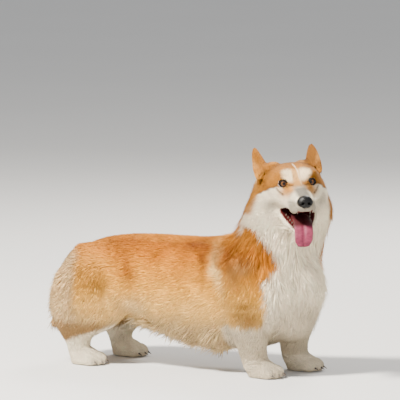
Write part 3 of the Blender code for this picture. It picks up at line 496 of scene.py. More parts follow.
def keep_largest(obj):
    """Merges points that all but meet, and drops every closed surface but the largest."""
    work = bmesh.new()
    work.from_mesh(obj.data)
    merged = work.copy()
    bmesh.ops.remove_doubles(merged, verts=merged.verts, dist=4e-6)
    bmesh.ops.dissolve_degenerate(merged, edges=merged.edges, dist=2e-6)
    if all(len(edge.link_faces) == 2 for edge in merged.edges):
        work, merged = merged, work
    merged.free()
    left = set(work.faces)
    islands = []
    while left:
        stack = [left.pop()]
        island = set(stack)
        while stack:
            for edge in stack.pop().edges:
                for face in edge.link_faces:
                    if face in left:
                        left.discard(face)
                        island.add(face)
                        stack.append(face)
        islands.append(island)
    islands.sort(key=len, reverse=True)
    loose = [face for island in islands[1:] for face in island]
    bmesh.ops.delete(work, geom=loose, context="FACES")
    bmesh.ops.delete(work, geom=[vert for vert in work.verts if not vert.link_faces], context="VERTS")
    work.to_mesh(obj.data)
    work.free()


def remove(obj):
    mesh = obj.data
    bpy.data.objects.remove(obj)
    bpy.data.meshes.remove(mesh)


def cut_by(obj, forms):
    """Takes the given closed pieces out of obj."""
    for form in forms:
        cutter = joined([form], "cutter")
        boolean(obj, "DIFFERENCE", cutter)
        remove(cutter)
    keep_largest(obj)


def eye_middle(side):
    return Vector((EYE_PLACE[0], side * EYE_PLACE[1], EYE_PLACE[2]))


def eyeball(side, grow):
    made = bmesh.new()
    bmesh.ops.create_uvsphere(made, u_segments=14, v_segments=9, radius=EYE_RADIUS + grow)
    made.transform(Matrix.Translation(eye_middle(side)))
    made.transform(head_matrix())
    return made


def eye_axes(side):
    """The way the lids face, across and up, in the head's frame."""
    gaze = Vector((1, side * 0.36, 0.03)).normalized()
    across = Vector((-gaze.y, gaze.x, 0)).normalized()
    return gaze, across, gaze.cross(across)


def almond(angle, grow):
    wide, tall = EYE_OPENING
    lean = 1 - 0.22 * math.cos(angle) ** 2
    return math.cos(angle) * (wide + grow), math.sin(angle) * (tall * lean + grow)


def eye_opening(side):
    """A short, almond-shaped prism that opens the face in front of the eyeball."""
    gaze, across, upward = eye_axes(side)
    middle = eye_middle(side)
    rings = []
    for depth, grow in ((0.002, 0.0008), (EYE_RADIUS, 0.0012), (EYE_RADIUS + 0.020, 0.0012)):
        ring = []
        for i in range(20):
            wide, tall = almond(2 * math.pi * i / 20, grow)
            ring.append(tuple(middle + gaze * depth + across * wide + upward * tall))
        rings.append(ring)
    made = loft(rings)
    made.transform(head_matrix())
    return made


def tail_form():
    """The short, docked tail: a stub that lies on the rump."""
    rows = smooth_rows(TAIL, 2)
    rings = []
    for i, (x, z, radius) in enumerate(rows):
        before, after = rows[max(i - 1, 0)], rows[min(i + 1, len(rows) - 1)]
        along = Vector((after[0] - before[0], 0, after[1] - before[1])).normalized()
        rise = Vector((-along.z, 0, along.x))
        wide, deep = radius * 0.95, radius * 0.8
        rings.append(egg_ring((x, 0, z), (0, 1, 0), tuple(rise), wide, deep, deep, 12))
    return loft(rings)


# ---------------------------------------------------------------- colours, as linear red, green and blue
RED = (0.200, 0.050, 0.006)
TAN = (0.37, 0.145, 0.016)
PEACH = (0.66, 0.350, 0.110)
CREAM = (0.76, 0.560, 0.300)
WHITE = (0.94, 0.820, 0.620)
GREY = (0.36, 0.310, 0.240)
BROWN = (0.09, 0.038, 0.013)
BLACK = (0.005, 0.004, 0.004)
GUM = (0.080, 0.010, 0.011)
LIP = (0.012, 0.009, 0.009)
TONGUE_PINK = (0.195, 0.029, 0.060)
IRIS_MIDDLE = (0.085, 0.028, 0.006)
IRIS_RIM = (0.17, 0.060, 0.012)
SHADED = (0.62, 0.520, 0.370)  # lower bib and forelegs
GROIN = (0.84, 0.610, 0.300)
BREECHES = (0.66, 0.460, 0.240)
HOCK = (0.30, 0.160, 0.055)
BROW = (0.90, 0.720, 0.460)
BLAZE = (0.90, 0.800, 0.620)
EYE_TAN = (0.60, 0.270, 0.060)
CHEEK_TAN = (0.50, 0.210, 0.030)
# Bridge and whisker pads: the fur's own grey with painted shade
BRIDGE = (0.135, 0.118, 0.098)
PAD = (0.33, 0.285, 0.220)
# Tan of the backs of the ears; the left ear's is darker, painted shade
EAR_TAN = {1: (0.21, 0.080, 0.012), -1: (0.27, 0.100, 0.009)}
EAR_RIM = (0.46, 0.220, 0.060)
EAR_INSIDE = (0.66, 0.420, 0.260)
EAR_FLUFF = (0.84, 0.660, 0.420)

# Colour of the flanks by height above the floor. The two lowest rows, under the belly, are darkened by
# painted shade.
FLANK = (
    (0.040, (0.44, 0.310, 0.170)),
    (0.085, (0.60, 0.420, 0.200)),
    (0.120, (0.86, 0.510, 0.140)),
    (0.165, (0.86, 0.420, 0.055)),
    (0.205, (0.78, 0.310, 0.022)),
    (0.235, (0.58, 0.185, 0.008)),
    (0.252, (0.40, 0.120, 0.006)),
    (0.264, (0.46, 0.165, 0.012)),
)

# Turn of the white bib's near and far edge about the neck's axis, in degrees, by height
BIB_AXIS = (0.170, -0.003)
BIB_NEAR = (
    (0.100, -82), (0.111, -77), (0.139, -75), (0.160, -76), (0.177, -78), (0.196, -82), (0.204, -70),
    (0.216, -62), (0.231, -58), (0.241, -61), (0.260, -68), (0.277, -79), (0.291, -93), (0.305, -107),
    (0.312, -122), (0.325, -118), (0.339, -103), (0.400, -95),
)
BIB_FAR = ((0.100, 80), (0.180, 72), (0.200, 40), (0.220, 17), (0.320, 17), (0.340, 22))

# Deeper or paler areas of the coat on both sides, and painted shade at the elbow: along, up, reach along and
# up, lean, colour, share
PATCHES = (
    (0.020, 0.252, 0.030, 0.011, 0.0, (0.20, 0.050, 0.005), 0.85),
    (0.048, 0.232, 0.010, 0.028, 0.3, RED, 0.85),
    (0.108, 0.246, 0.024, 0.013, 0.3, RED, 0.85),
    (0.122, 0.222, 0.010, 0.020, 0.5, RED, 0.55),
    (0.125, 0.266, 0.018, 0.009, 0.0, RED, 0.60),
    (-0.120, 0.205, 0.012, 0.040, 0.35, (0.42, 0.125, 0.010), 0.85),
    (-0.150, 0.248, 0.030, 0.010, 0.0, (0.32, 0.090, 0.008), 0.70),
    (0.088, 0.204, 0.0125, 0.044, 0.30, (0.95, 0.640, 0.240), 0.90),
    (0.128, 0.200, 0.028, 0.030, 0.0, (0.46, 0.230, 0.070), 0.60),
    (0.150, 0.226, 0.022, 0.014, 0.0, (0.46, 0.240, 0.080), 0.70),
    # At the elbow: its tan darkened by painted shade of its folds, then a painted shade line in the fold
    # above it
    (0.160, 0.122, 0.036, 0.020, 0.0, (0.27, 0.115, 0.024), 0.80),
    (0.150, 0.148, 0.026, 0.006, 0.0, (0.18, 0.065, 0.014), 0.65),
    (-0.215, 0.200, 0.050, 0.050, 0.0, (0.52, 0.250, 0.050), 0.60),
    (-0.185, 0.165, 0.030, 0.013, 0.0, (0.38, 0.150, 0.020), 0.60),
    (-0.165, 0.115, 0.040, 0.020, 0.0, (0.86, 0.490, 0.130), 0.55),
)


def mix(colours, colour, share):
    return colours + (np.array(colour) - colours) * np.clip(share, 0, 1)[:, None]


def waves(points, size, seed, terms=7):
    """A smooth random field from -1 to 1 whose features are about size across."""
    draw = np.random.default_rng(seed)
    total = np.zeros(len(points))
    for _ in range(terms):
        way = draw.normal(size=3)
        way *= 2 * math.pi / (size * draw.uniform(0.7, 1.6)) / np.linalg.norm(way)
        total += np.sin(points @ way + draw.uniform(0, 2 * math.pi))
    return total / math.sqrt(terms)


def ear_line(side):
    """Middle of the ear's root, the way to its tip and its length, in the head's frame."""
    root, tip = (np.array(place) for place in EARS[side][:2])
    reach = np.linalg.norm(tip - root)
    return root, (tip - root) / reach, reach


def mirrored(local):
    """Places in the head's frame, with those on the right moved over to the left."""
    return np.column_stack([local[:, 0], np.abs(local[:, 1]), local[:, 2]])


def in_head(points):
    return (points - np.array(HEAD_CENTRE)) @ np.array(head_matrix().to_3x3())


def table(values, rows):
    rows = np.array(rows, float)
    return np.interp(values, rows[:, 0], rows[:, 1])


def spot(local, centre, reach):
    """1 at the place in the head's frame, on both sides, falling off within reach."""
    return np.exp(-(((mirrored(local) - np.array(centre)) / np.array(reach)) ** 2).sum(axis=1))


def streak(local, start, end, reach):
    """1 along a line in the head's frame, on both sides."""
    start, end = np.array(start), np.array(end)
    flank = mirrored(local)
    share = np.clip(((flank - start) @ (end - start)) / ((end - start) ** 2).sum(), 0, 1)
    away = np.linalg.norm(flank - start - share[:, None] * (end - start), axis=1)
    return np.exp(-((away / reach) ** 2))


def body_colour(points):
    """The coat behind the head."""
    x, y, z = points.T
    wobble = waves(points, 0.035, 3) * 0.004
    level = z + wobble
    rows = np.array([row[0] for row in FLANK])
    colours = np.column_stack([np.interp(level, rows, [row[1][c] for row in FLANK]) for c in range(3)])
    for along, up, wide, tall, lean, colour, share in PATCHES:
        dx = x + wobble - along + lean * (z - up)
        away = (dx / wide) ** 2 + ((z - up) / tall) ** 2
        colours = mix(colours, colour, share * np.exp(-away))
    under = ramp(np.abs(y), 0.055, 0.025) * ramp(z, 0.115, 0.095)
    colours = mix(colours, CREAM, under * 0.8)
    groin = np.exp(-(((x + 0.108) / 0.030) ** 2) - ((z - 0.120) / 0.020) ** 2)
    colours = mix(colours, GROIN, groin * 0.75)
    rear = ramp(x + wobble, -0.222, -0.252) * ramp(z, 0.245, 0.215)
    colours = mix(colours, BREECHES, rear * 0.85)
    low = ramp(z, 0.096, 0.080) * ramp(x, -0.150, -0.170)
    colours = mix(colours, HOCK, low * 0.80)
    foot = ramp(z - 0.35 * (x + 0.22), 0.066, 0.056) * ramp(x, -0.13, -0.15)
    colours = mix(colours, WHITE, foot)
    # Painted shade in the parting of the coat on the shoulder
    crease = np.abs(z - np.interp(x, (0.134, 0.182), (0.247, 0.215)) + 0.15 * wobble)
    parting_shade = ramp(crease, 0.0035, 0.0012) * ramp(x, 0.126, 0.138) * ramp(x, 0.190, 0.178)
    colours = mix(colours, RED, parting_shade * 0.75)
    return colours


def bib_share(points):
    """1 on the white collar, throat, bib and forelegs."""
    x, y, z = points.T
    turn = np.degrees(np.arctan2(y - BIB_AXIS[1], x - BIB_AXIS[0])) + waves(points, 0.022, 5) * 2.5
    near = ramp(turn - table(z, BIB_NEAR), -4, 4)
    far = ramp(turn - table(z, BIB_FAR), 5, -5)
    share = near * far * ramp(x, 0.070, 0.085) * ramp(z, 0.415, 0.395)
    legs = ramp(z, 0.106, 0.096) * ramp(x, 0.085, 0.105)
    inner = ramp(np.abs(y), 0.058, 0.046) * ramp(x, 0.090, 0.130) * ramp(z, 0.190, 0.160)
    withers = np.exp(-(((x - 0.130) / 0.011) ** 2) - ((z - 0.292) / 0.010) ** 2)
    withers = withers * ramp(y, -0.022, -0.036) * ramp(y, -0.085, -0.075)
    return np.clip(share + legs + inner + 0.85 * withers, 0, 1)


# Lower edge of the tan cap in the head's frame: forward, up
CAP_EDGE = (
    (-0.060, -0.090), (-0.040, -0.062), (-0.013, -0.026), (0.000, -0.021),
    (0.020, -0.014), (0.038, -0.008), (0.048, -0.008), (0.060, -0.015),
)
# The thin white line down the forehead: forward, sideways
BLAZE_LINE = ((0.004, -0.001), (0.033, 0.001), (0.049, 0.004), (0.061, 0.006))
BROW_PLACES = ((0.042, -0.0150, 0.0140), (0.043, 0.0135, 0.0150))
BROW_HALF = (0.0240, 0.0165, 0.0150)
# Tan spots at the eyes' inner corners: reach, place
EYE_SPOTS = (
    ((0.017, 0.0135, 0.0115), (0.0570, 0.0270, -0.0155)),
    ((0.013, 0.009, 0.009), (0.068, 0.017, -0.012)),
)
# Dark creases from the eyes' corners: share, start, end, reach
CREASES = (
    (0.90, (0.041, 0.042, -0.010), (0.053, 0.031, -0.022), 0.0019),
    (0.90, (0.055, 0.0205, -0.003), (0.062, 0.0125, -0.004), 0.0021),
    (0.60, (0.042, 0.039, -0.002), (0.036, 0.045, -0.008), 0.0022),
)


def head_colour(points):
    """The face, skull, cheeks and ears."""
    local = in_head(points)
    f, s, k = local.T
    wide = np.abs(s)
    shift = waves(points, 0.014, 9) * 0.0012
    colours = np.tile(np.array(WHITE), (len(points), 1))
    # The tan cap, down to a line from the eye's outer corner to below the ear
    edge = table(f, CAP_EDGE)
    cap = ramp(k - edge + shift, -0.002, 0.0025) * ramp(f, 0.070, 0.060)
    colours = mix(colours, TAN, cap)
    rim = cap * ramp(k - edge + shift, 0.0055, 0.0005) * ramp(f, 0.046, 0.034) * ramp(f, -0.030, -0.005)
    colours = mix(colours, BROWN, rim * 0.55)
    # White patches over the eyes and the thin line between them
    for centre in BROW_PLACES:
        away = (local - centre) / BROW_HALF
        away[:, 2] -= 0.25 * away[:, 1] * np.sign(centre[1])
        colours = mix(colours, BROW, ramp((away**2).sum(axis=1) + shift * 60, 1.45, 0.10) * 0.95)
    middle = table(f, BLAZE_LINE)
    line = ramp(np.abs(s - middle + waves(points, 0.007, 15) * 0.0005), 0.0022, 0.0004)
    line = line * ramp(f, 0.066, 0.060) * ramp(k, -0.008, -0.002) * ramp(f, -0.004, 0.004)
    stop = 0.85 * ramp(np.abs(s + 0.002), 0.0095, 0.0055) * ramp(f, 0.026, 0.040)
    colours = mix(colours, PEACH, stop * ramp(f, 0.069, 0.061) * ramp(k, -0.012, -0.006))
    for reach, place in EYE_SPOTS:
        colours = mix(colours, EYE_TAN, 0.95 * spot(local, place, reach))
    colours = mix(colours, BLAZE, 0.62 * line * (1 - 0.6 * ramp(f, 0.040, 0.058)))
    # Bridge and whisker pads: the fur's own grey with painted shade
    bridge_grey_and_shade = ramp(f, 0.052, 0.080) * ramp(k, -0.033, -0.018) * ramp(wide, 0.018, 0.008)
    colours = mix(colours, BRIDGE, bridge_grey_and_shade * 0.9)
    pad = ramp(f, 0.058, 0.085) * ramp(k, -0.026, -0.034)
    colours = mix(colours, PAD, pad * 0.85)
    dots = (waves(points, 0.0045, 21) > 1.15) * ramp(f, 0.050, 0.075)
    dots = dots * ramp(k, -0.026, -0.036) * ramp(k, -0.062, -0.052)
    colours = mix(colours, GREY, dots * 0.5)
    # Grey spot low on each cheek: painted shade
    colours = mix(colours, GREY, 0.75 * spot(local, (0.020, 0.050, -0.045), (0.016, 0.014, 0.013)))
    for share, start, end, reach in CREASES:
        colours = mix(colours, BROWN, share * streak(local, start, end, reach))
    colours = mix(colours, TAN, ramp(s, 0.065, 0.074) * ramp(f, 0.026, 0.014) * ramp(k, -0.112, -0.098))
    strip = ramp(-s, 0.062, 0.072) * ramp(f, 0.000, -0.016) * ramp(k, -0.068, -0.054)
    colours = mix(colours, CHEEK_TAN, strip * 0.9)
    for side in (1, -1):
        root, axis, reach = ear_line(side)
        faces = EARS[side][2]
        opening = np.array((math.cos(faces), math.sin(faces), 0))
        opening = opening - axis * (opening @ axis)
        opening /= np.linalg.norm(opening)
        along = (local - root) @ axis
        beside = local - root - along[:, None] * axis
        away = np.linalg.norm(beside, axis=1)
        half = np.interp(along / reach, [row[0] for row in EAR], [row[1] for row in EAR])
        curl = np.interp(along / reach, [row[0] for row in EAR], [row[2] for row in EAR])
        within = beside @ opening - curl * ((beside @ np.cross(axis, opening) / half) ** 2 - 0.5)
        ear = ramp(along, 0.000, 0.020) * ramp(away, 0.042, 0.036) * ramp(k, 0.010, 0.020)
        colours = mix(colours, EAR_TAN[side], ear)
        outer = ear * ramp(away, 0.0150, 0.0205) * ramp(along, 0.020, 0.030)
        colours = mix(colours, EAR_RIM, outer * 0.6)
        inner = ear * ramp(within, 0.0003, 0.0016) * ramp(along, 0.016, 0.026)
        colours = mix(colours, EAR_INSIDE, inner * ramp(away, half * 0.95, half * 0.80) * 0.85)
        base = spot(local, (-0.038, 0.062, 0.004), (0.013, 0.010, 0.015)) * (s < 0) * (side < 0)
        colours = mix(colours, EAR_FLUFF, base * 0.8)
    return colours


def coat_colour(points):
    """The colour of the coat's tips at places on its outer surface."""
    local = in_head(points)
    f, s, k = local.T
    head = ramp(k, -0.088, -0.078) * ramp(f, -0.062, -0.052) * ramp(np.abs(s), 0.110, 0.095)
    colours = mix(body_colour(points), WHITE, bib_share(points))
    x, _, z = points.T
    shaded = 0.6 * ramp(z, 0.170, 0.120) + 0.3 * ramp(z, 0.105, 0.095) * ramp(z, 0.030, 0.045)
    colours = mix(colours, SHADED, bib_share(points) * shaded * ramp(x, 0.080, 0.100))
    faces = head_colour(points)
    colours = colours + (faces - colours) * head[:, None]
    return colours * (1 + 0.05 * waves(points, 0.030, 12))[:, None]


# ---------------------------------------------------------------- skin and coat
SKIN_VOXEL = 0.0021
# Swellings at the ears' roots: behind and outward of the root, level, half sizes
EAR_FLARES = (
    (0.008, 0.004, 0.0200, (0.013, 0.0175, 0.0125)),
    (0.012, 0.014, 0.0285, (0.010, 0.0150, 0.0065)),
)
# Roof of the mouth: forward, lowest, widest level, highest, half width
MOUTH = (
    (0.015, -0.075, -0.054, -0.0460, 0.0305),
    (0.045, -0.075, -0.054, -0.0460, 0.0260),
    (0.080, -0.075, -0.053, -0.0460, 0.0188),
    (0.106, -0.075, -0.053, -0.0465, 0.0148),
)


RUFFLE_PLACE = (-0.030, 0.056, 0.004)  # tufts in front of the ear, in the head's frame
RUFFLE_HALF = (0.022, 0.020, 0.020)


def zones(points):
    """Shares of the coat's kinds at places on the outer surface: head, ear, leg, foot and the long zones."""
    x, y, z = points.T
    local = in_head(points)
    f, s, k = local.T
    head = ramp(k, -0.092, -0.074) * ramp(f, -0.066, -0.050) * ramp(np.abs(s), 0.115, 0.100)
    ear = np.zeros(len(points))
    for side in (1, -1):
        root, axis, _ = ear_line(side)
        along = (local - root) @ axis
        away = np.linalg.norm(local - root - along[:, None] * axis, axis=1)
        ear = np.maximum(ear, ramp(along, 0.012, 0.026) * ramp(away, 0.042, 0.036))
    ear *= ramp(k, 0.014, 0.026)
    muzzle = ramp(f, 0.046, 0.066) * head
    face = head * ramp(f, 0.004, 0.030) * ramp(np.abs(s), 0.056, 0.044)
    leg = ramp(z, 0.100, 0.078) * (ramp(x, 0.070, 0.100) + ramp(x, -0.185, -0.200))
    leg *= ramp(np.abs(y), 0.030, 0.042)
    foot = ramp(z, 0.044, 0.030) * (1 - head)
    long = long_coat(points)
    flank = mirrored(local)
    eye = np.exp(-((np.linalg.norm(flank - np.array(EYE_PLACE), axis=1) / 0.0185) ** 4)) * head
    ruffle = np.linalg.norm((flank - RUFFLE_PLACE) / RUFFLE_HALF, axis=1)
    ruffle = np.exp(-(ruffle**4)) * head
    tip = np.exp(-((np.linalg.norm(local - np.array(NOSE_PLACE), axis=1) / 0.0215) ** 4))
    return {
        "close": np.clip(eye + tip, 0, 1), "ruffle": ruffle * ramp(k, 0.026, 0.014),
        "head": head, "ear": ear, "muzzle": muzzle, "face": face * (1 - ear), "leg": leg, "foot": foot,
        "ruff": long["ruff"], "bib": long["bib"], "breeches": long["breeches"], "fringe": long["fringe"],
        "cheek": long["cheek"],
    }


def blended(shares, base, **values):
    """base where no zone is named, moved to each zone's value by its share, in turn."""
    made = np.full(len(shares["head"]), float(base))
    for zone, value in values.items():
        made += (value - made) * shares[zone]
    return made


def coat_depth(shares):
    return blended(
        shares, 0.0085, ruff=0.0125, bib=0.0125, breeches=0.0130, fringe=0.0130, head=0.0042, cheek=0.0060,
        face=0.0020, muzzle=0.0014, leg=0.0034, foot=0.0014, ear=0.0007,
    )


def coat_length(shares):
    return blended(
        shares, 0.026, ruff=0.050, bib=0.046, breeches=0.044, fringe=0.042, head=0.014, cheek=0.024,
        face=0.0085, muzzle=0.0060, leg=0.013, foot=0.0075, ear=0.0080, ruffle=0.0190, close=0.0042,
    )


def tuft_width(shares):
    return blended(
        shares, 0.0019, ruff=0.0024, bib=0.0024, breeches=0.0022, fringe=0.0022, head=0.0014, cheek=0.0017,
        face=0.0011, muzzle=0.0009, leg=0.0014, foot=0.0011, ear=0.0010, close=0.0008,
    )


def lie_of(points, shares):
    """The way the coat lies at places on its outer surface, before it is laid along the surface."""
    x, _, z = points.T
    way = np.tile(np.array((-1.0, 0.0, -0.38)), (len(points), 1))

    def turn(direction, share):
        nonlocal way
        direction = np.array(direction, float)
        way = way + (direction / np.linalg.norm(direction) - way) * np.clip(share, 0, 1)[:, None]

    turn((-0.80, 0, -0.65), ramp(z, 0.170, 0.110) * ramp(x, 0.10, 0.06))
    turn((-0.55, 0, -1.0), ramp(x, 0.080, 0.120) * ramp(z, 0.270, 0.235))
    turn((-0.30, 0, -1.0), ramp(x, 0.105, 0.135) * ramp(z, 0.400, 0.340))
    turn((-0.45, 0, -1.0), ramp(x, -0.140, -0.175) * ramp(z, 0.225, 0.185))
    turn((-1.0, 0, -0.62), shares["breeches"] * 0.9)
    turn((-0.62, 0, -1.0), shares["fringe"])
    turn((0.15, 0, -1.0), shares["bib"])
    turn((-0.25, 0, -1.0), shares["ruff"])
    turn((-0.12, 0, -1.0), shares["leg"])
    turn((0.9, 0, -0.35), shares["foot"])
    local = in_head(points)
    f, s, k = local.T
    aside = 0.35 * np.sign(s) * ramp(np.abs(s), 0.004, 0.030)
    flow = np.column_stack([np.full(len(points), -1.0), aside, np.full(len(points), -0.25)])
    up = ramp(k, -0.012, 0.016)
    flow[:, 2] += up * 0.65
    down = ramp(k, -0.012, -0.040) * ramp(f, 0.040, 0.000)
    flow[:, 2] -= down * (0.9 + 1.3 * ramp(k, -0.045, -0.070))
    for side in (1, -1):
        mine = shares["ear"] * (np.sign(s) == side)
        flow += (ear_line(side)[1] - flow) * mine[:, None]
    flow = flow @ np.array(head_matrix().to_3x3()).T
    flow /= np.linalg.norm(flow, axis=1)[:, None]
    share = np.maximum(shares["head"], shares["ear"])[:, None]
    way = way + (flow - way) * share
    drift = np.column_stack([waves(points, 0.045, seed) for seed in (31, 32, 33)])
    calm = blended(
        shares, 0.20, ruff=0.26, bib=0.34, breeches=0.24, fringe=0.30, head=0.12, face=0.07,
        muzzle=0.05, ear=0.05,
    )
    return way + drift * calm[:, None]


def unit(vectors):
    return vectors / np.maximum(np.linalg.norm(vectors, axis=1), 1e-9)[:, None]


def mesh_arrays(mesh):
    """Points, vertex normals and triangles of a mesh."""
    points = points_of(mesh)
    normals = np.empty(len(points) * 3)
    mesh.vertices.foreach_get("normal", normals)
    mesh.calc_loop_triangles()
    corners = np.empty(len(mesh.loop_triangles) * 3, np.int32)
    mesh.loop_triangles.foreach_get("vertices", corners)
    return points, normals.reshape(-1, 3), corners.reshape(-1, 3)


def outer_surface():
    """The coat's outer surface as one closed form, with ears, tail, jaw and the open mouth."""
    whole = joined(body_forms() + head_forms(), "whole")
    fuse(whole)
    touch_face(whole)
    palate = barrel(MOUTH, points=32, steps=4)
    palate.transform(head_matrix())
    cut_by(whole, [palate])
    jaw_shape = barrel(JAW, points=40, steps=4)
    jaw_shape.transform(jaw_matrix())
    trough = barrel(JAW_TROUGH, points=36, steps=4)
    trough.transform(jaw_matrix())
    jaw = joined([jaw_shape], "jaw")
    cut_by(jaw, [trough])
    flares = []
    for behind, outward, level, half in EAR_FLARES:
        pair = []
        for side in (1, -1):
            root = Vector(EARS[side][0])
            pair.append(blob((root.x - behind, root.y - side * outward, level), half, around=24))
        flares.append(joined(placed(pair, head_matrix()), "flare"))
    ears = [joined([fine_ear(side)], "ear") for side in (1, -1)]
    for obj in (jaw, *flares, *ears, joined([tail_form()], "tail")):
        boolean(whole, "UNION", obj)
        remove(obj)
    remesh = whole.modifiers.new("fuse", "REMESH")
    remesh.mode = "VOXEL"
    remesh.voxel_size = SKIN_VOXEL
    smooth = whole.modifiers.new("soft", "SMOOTH")
    smooth.factor = 0.5
    smooth.iterations = 3
    bake_modifiers(whole)
    keep_largest(whole)
    points = points_of(whole.data)
    points[:, 2] = np.maximum(points[:, 2], 0.0003)
    whole.data.vertices.foreach_set("co", points.ravel())
    whole.data.update()
    return whole


def inside_barrel(local, stations, grow):
    """How far places in a barrel's own frame lie inside it, from 0 at its wall to 1 a millimetre in."""
    rows = np.array(stations, float)
    along, up, aside = local[:, 0], local[:, 2], np.abs(local[:, 1])
    low = np.interp(along, rows[:, 0], rows[:, 1]) - grow
    high = np.interp(along, rows[:, 0], rows[:, 3]) + grow
    half = np.interp(along, rows[:, 0], rows[:, 4]) + grow
    end = (along > rows[0, 0] - 0.016 - grow) * (along < rows[-1, 0] + 0.007 + grow)
    share = ramp(half - aside, 0, 0.001) * ramp(high - up, 0, 0.001) * ramp(up - low, 0, 0.001)
    return share * end


def mouth_share(points):
    """1 on the lining of the mouth."""
    jaw = (points - np.array(jaw_matrix().translation)) @ np.array(jaw_matrix().to_3x3())
    upper = inside_barrel(in_head(points), MOUTH, 0.0010)
    lower = inside_barrel(jaw, JAW_TROUGH, 0.0012)
    return np.maximum(upper, lower * ramp(in_head(points)[:, 2], -0.0500, -0.0535))


def unwrap(points, corners):
    """A place in the unit square for each corner of each triangle: the skin parted by region and by the side
    it faces, each piece laid flat at one scale and packed in rows."""
    centres = points[corners].mean(axis=1)
    first, second, third = (points[corners[:, n]] for n in range(3))
    normals = np.cross(second - first, third - first)
    side = np.abs(normals).argmax(axis=1)
    facing = side * 2 + (normals[np.arange(len(side)), side] > 0)
    local = in_head(centres)
    region = np.zeros(len(centres), int)
    region[(centres[:, 2] < 0.11) & (centres[:, 0] > 0.08)] = 1
    region[(centres[:, 2] < 0.11) & (centres[:, 0] < -0.15)] = 3
    region[(region > 0) & (centres[:, 1] > 0)] += 1
    region[(local[:, 2] > -0.085) & (local[:, 0] > -0.062) & (np.abs(local[:, 1]) < 0.11)] = 5
    region[(region == 5) & (local[:, 2] > 0.034)] = 6
    region[(region == 6) & (local[:, 1] > 0)] = 7
    label = region * 6 + facing
    charts = []
    for name in np.unique(label):
        mine = np.flatnonzero(label == name)
        flat = points[corners[mine]][:, :, [a for a in (0, 1, 2) if a != (name % 6) // 2]]
        low = flat.min(axis=(0, 1))
        charts.append((mine, flat - low, flat.max(axis=(0, 1)) - low))
    charts.sort(key=lambda chart: -chart[2][1])
    width = math.sqrt(sum((c[2][0] + 0.008) * (c[2][1] + 0.008) for c in charts)) * 1.08
    placed_at = np.zeros((len(corners), 3, 2))
    x = y = row = 0.0
    for mine, flat, size in charts:
        if x + size[0] > width:
            x, y, row = 0.0, y + row, 0.0
        placed_at[mine] = flat + (x + 0.004, y + 0.004)
        x += size[0] + 0.008
        row = max(row, size[1] + 0.008)
    return placed_at / max(width + 0.008, y + row)


def paint(mesh, colours):
    """Point colours, as linear values."""
    layer = mesh.color_attributes.new("coat", "FLOAT_COLOR", "POINT")
    rgba = np.ones((len(mesh.vertices), 4), np.float32)
    rgba[:, :3] = np.clip(colours, 0.003, 1)
    layer.data.foreach_set("color", rgba.ravel())
    mesh.color_attributes.active_color = layer


def add_map(mesh, places):
    layer = mesh.uv_layers.new(name="OFBake")
    layer.data.foreach_set("uv", np.asarray(places, np.float32).ravel())


def sampled(points, corners, density, count, draw):
    """Triangles and weights of so many random places, as dense as density says."""
    a, b, c = (points[corners[:, n]] for n in range(3))
    area = np.linalg.norm(np.cross(b - a, c - a), axis=1) * density[corners].mean(axis=1)
    steps = (np.arange(count) + draw.uniform(0, 1, count)) / count
    chosen = np.searchsorted(np.cumsum(area) / area.sum(), steps)
    chosen = np.minimum(chosen, len(corners) - 1)
    u, v = draw.uniform(0, 1, (2, count))
    flip = u + v > 1
    u, v = np.where(flip, 1 - u, u), np.where(flip, 1 - v, v)
    return chosen, np.column_stack([1 - u - v, u, v])


def tuft_mesh(name, curve, normal, width, thick, shares, colours, painted_root_shade, places):
    """One mesh of closed three-sided tufts, pointed at both ends. curve holds root, bend and tip of each."""
    root, bend, tip = curve
    count, rings = len(root), len(shares)
    each = rings * 3 + 2
    verts, shade = np.empty((2, count, each, 3))
    patch = np.empty((each, 2))
    verts[:, 0], verts[:, -1] = root, tip
    # Painted shade along each tuft: darkest at its root and rising ring by ring, with the tip painted a
    # little lighter than the tuft's colour
    shade[:, 0], shade[:, -1] = colours * painted_root_shade[:, None], colours * 1.06
    patch[0], patch[-1] = (0, -0.0012), (0, 0.0015)
    for n, (t, wide, light) in enumerate(shares):
        place = root * (1 - t) ** 2 + bend * 2 * t * (1 - t) + tip * t**2
        along = unit((bend - root) * (1 - t) + (tip - bend) * t)
        across = unit(np.cross(along, normal))
        rise = np.cross(across, along)
        half = across * (width * wide / 2)[:, None]
        first = 1 + n * 3
        verts[:, first] = place + half
        verts[:, first + 1] = place + rise * (thick * wide)[:, None]
        verts[:, first + 2] = place - half
        tone = painted_root_shade + (1 - painted_root_shade) * light
        shade[:, first : first + 3] = (colours * tone[:, None])[:, None, :]
        for m in range(3):
            patch[first + m] = (0.0015 * (1 - m) * wide, 0.0027 * t - 0.0012)
    faces = [(0, 2, 1), (0, 3, 2), (0, 1, 3)]
    for n in range(rings - 1):
        for m in range(3):
            a, b = 1 + n * 3 + m, 1 + n * 3 + (m + 1) % 3
            faces += [(a, b, b + 3), (a, b + 3, a + 3)]
    last = 1 + (rings - 1) * 3
    faces += [(last + m, last + (m + 1) % 3, each - 1) for m in range(3)]
    faces = np.array(faces, np.int32)
    corners = (faces[None] + (np.arange(count) * each)[:, None, None]).reshape(-1, 3)
    uv = (places[:, None, :] + patch[faces].reshape(1, -1, 2)).reshape(-1, 2)
    obj = mesh_object(name, verts.reshape(-1, 3), corners, uv)
    paint(obj.data, shade.reshape(-1, 3))
    return obj


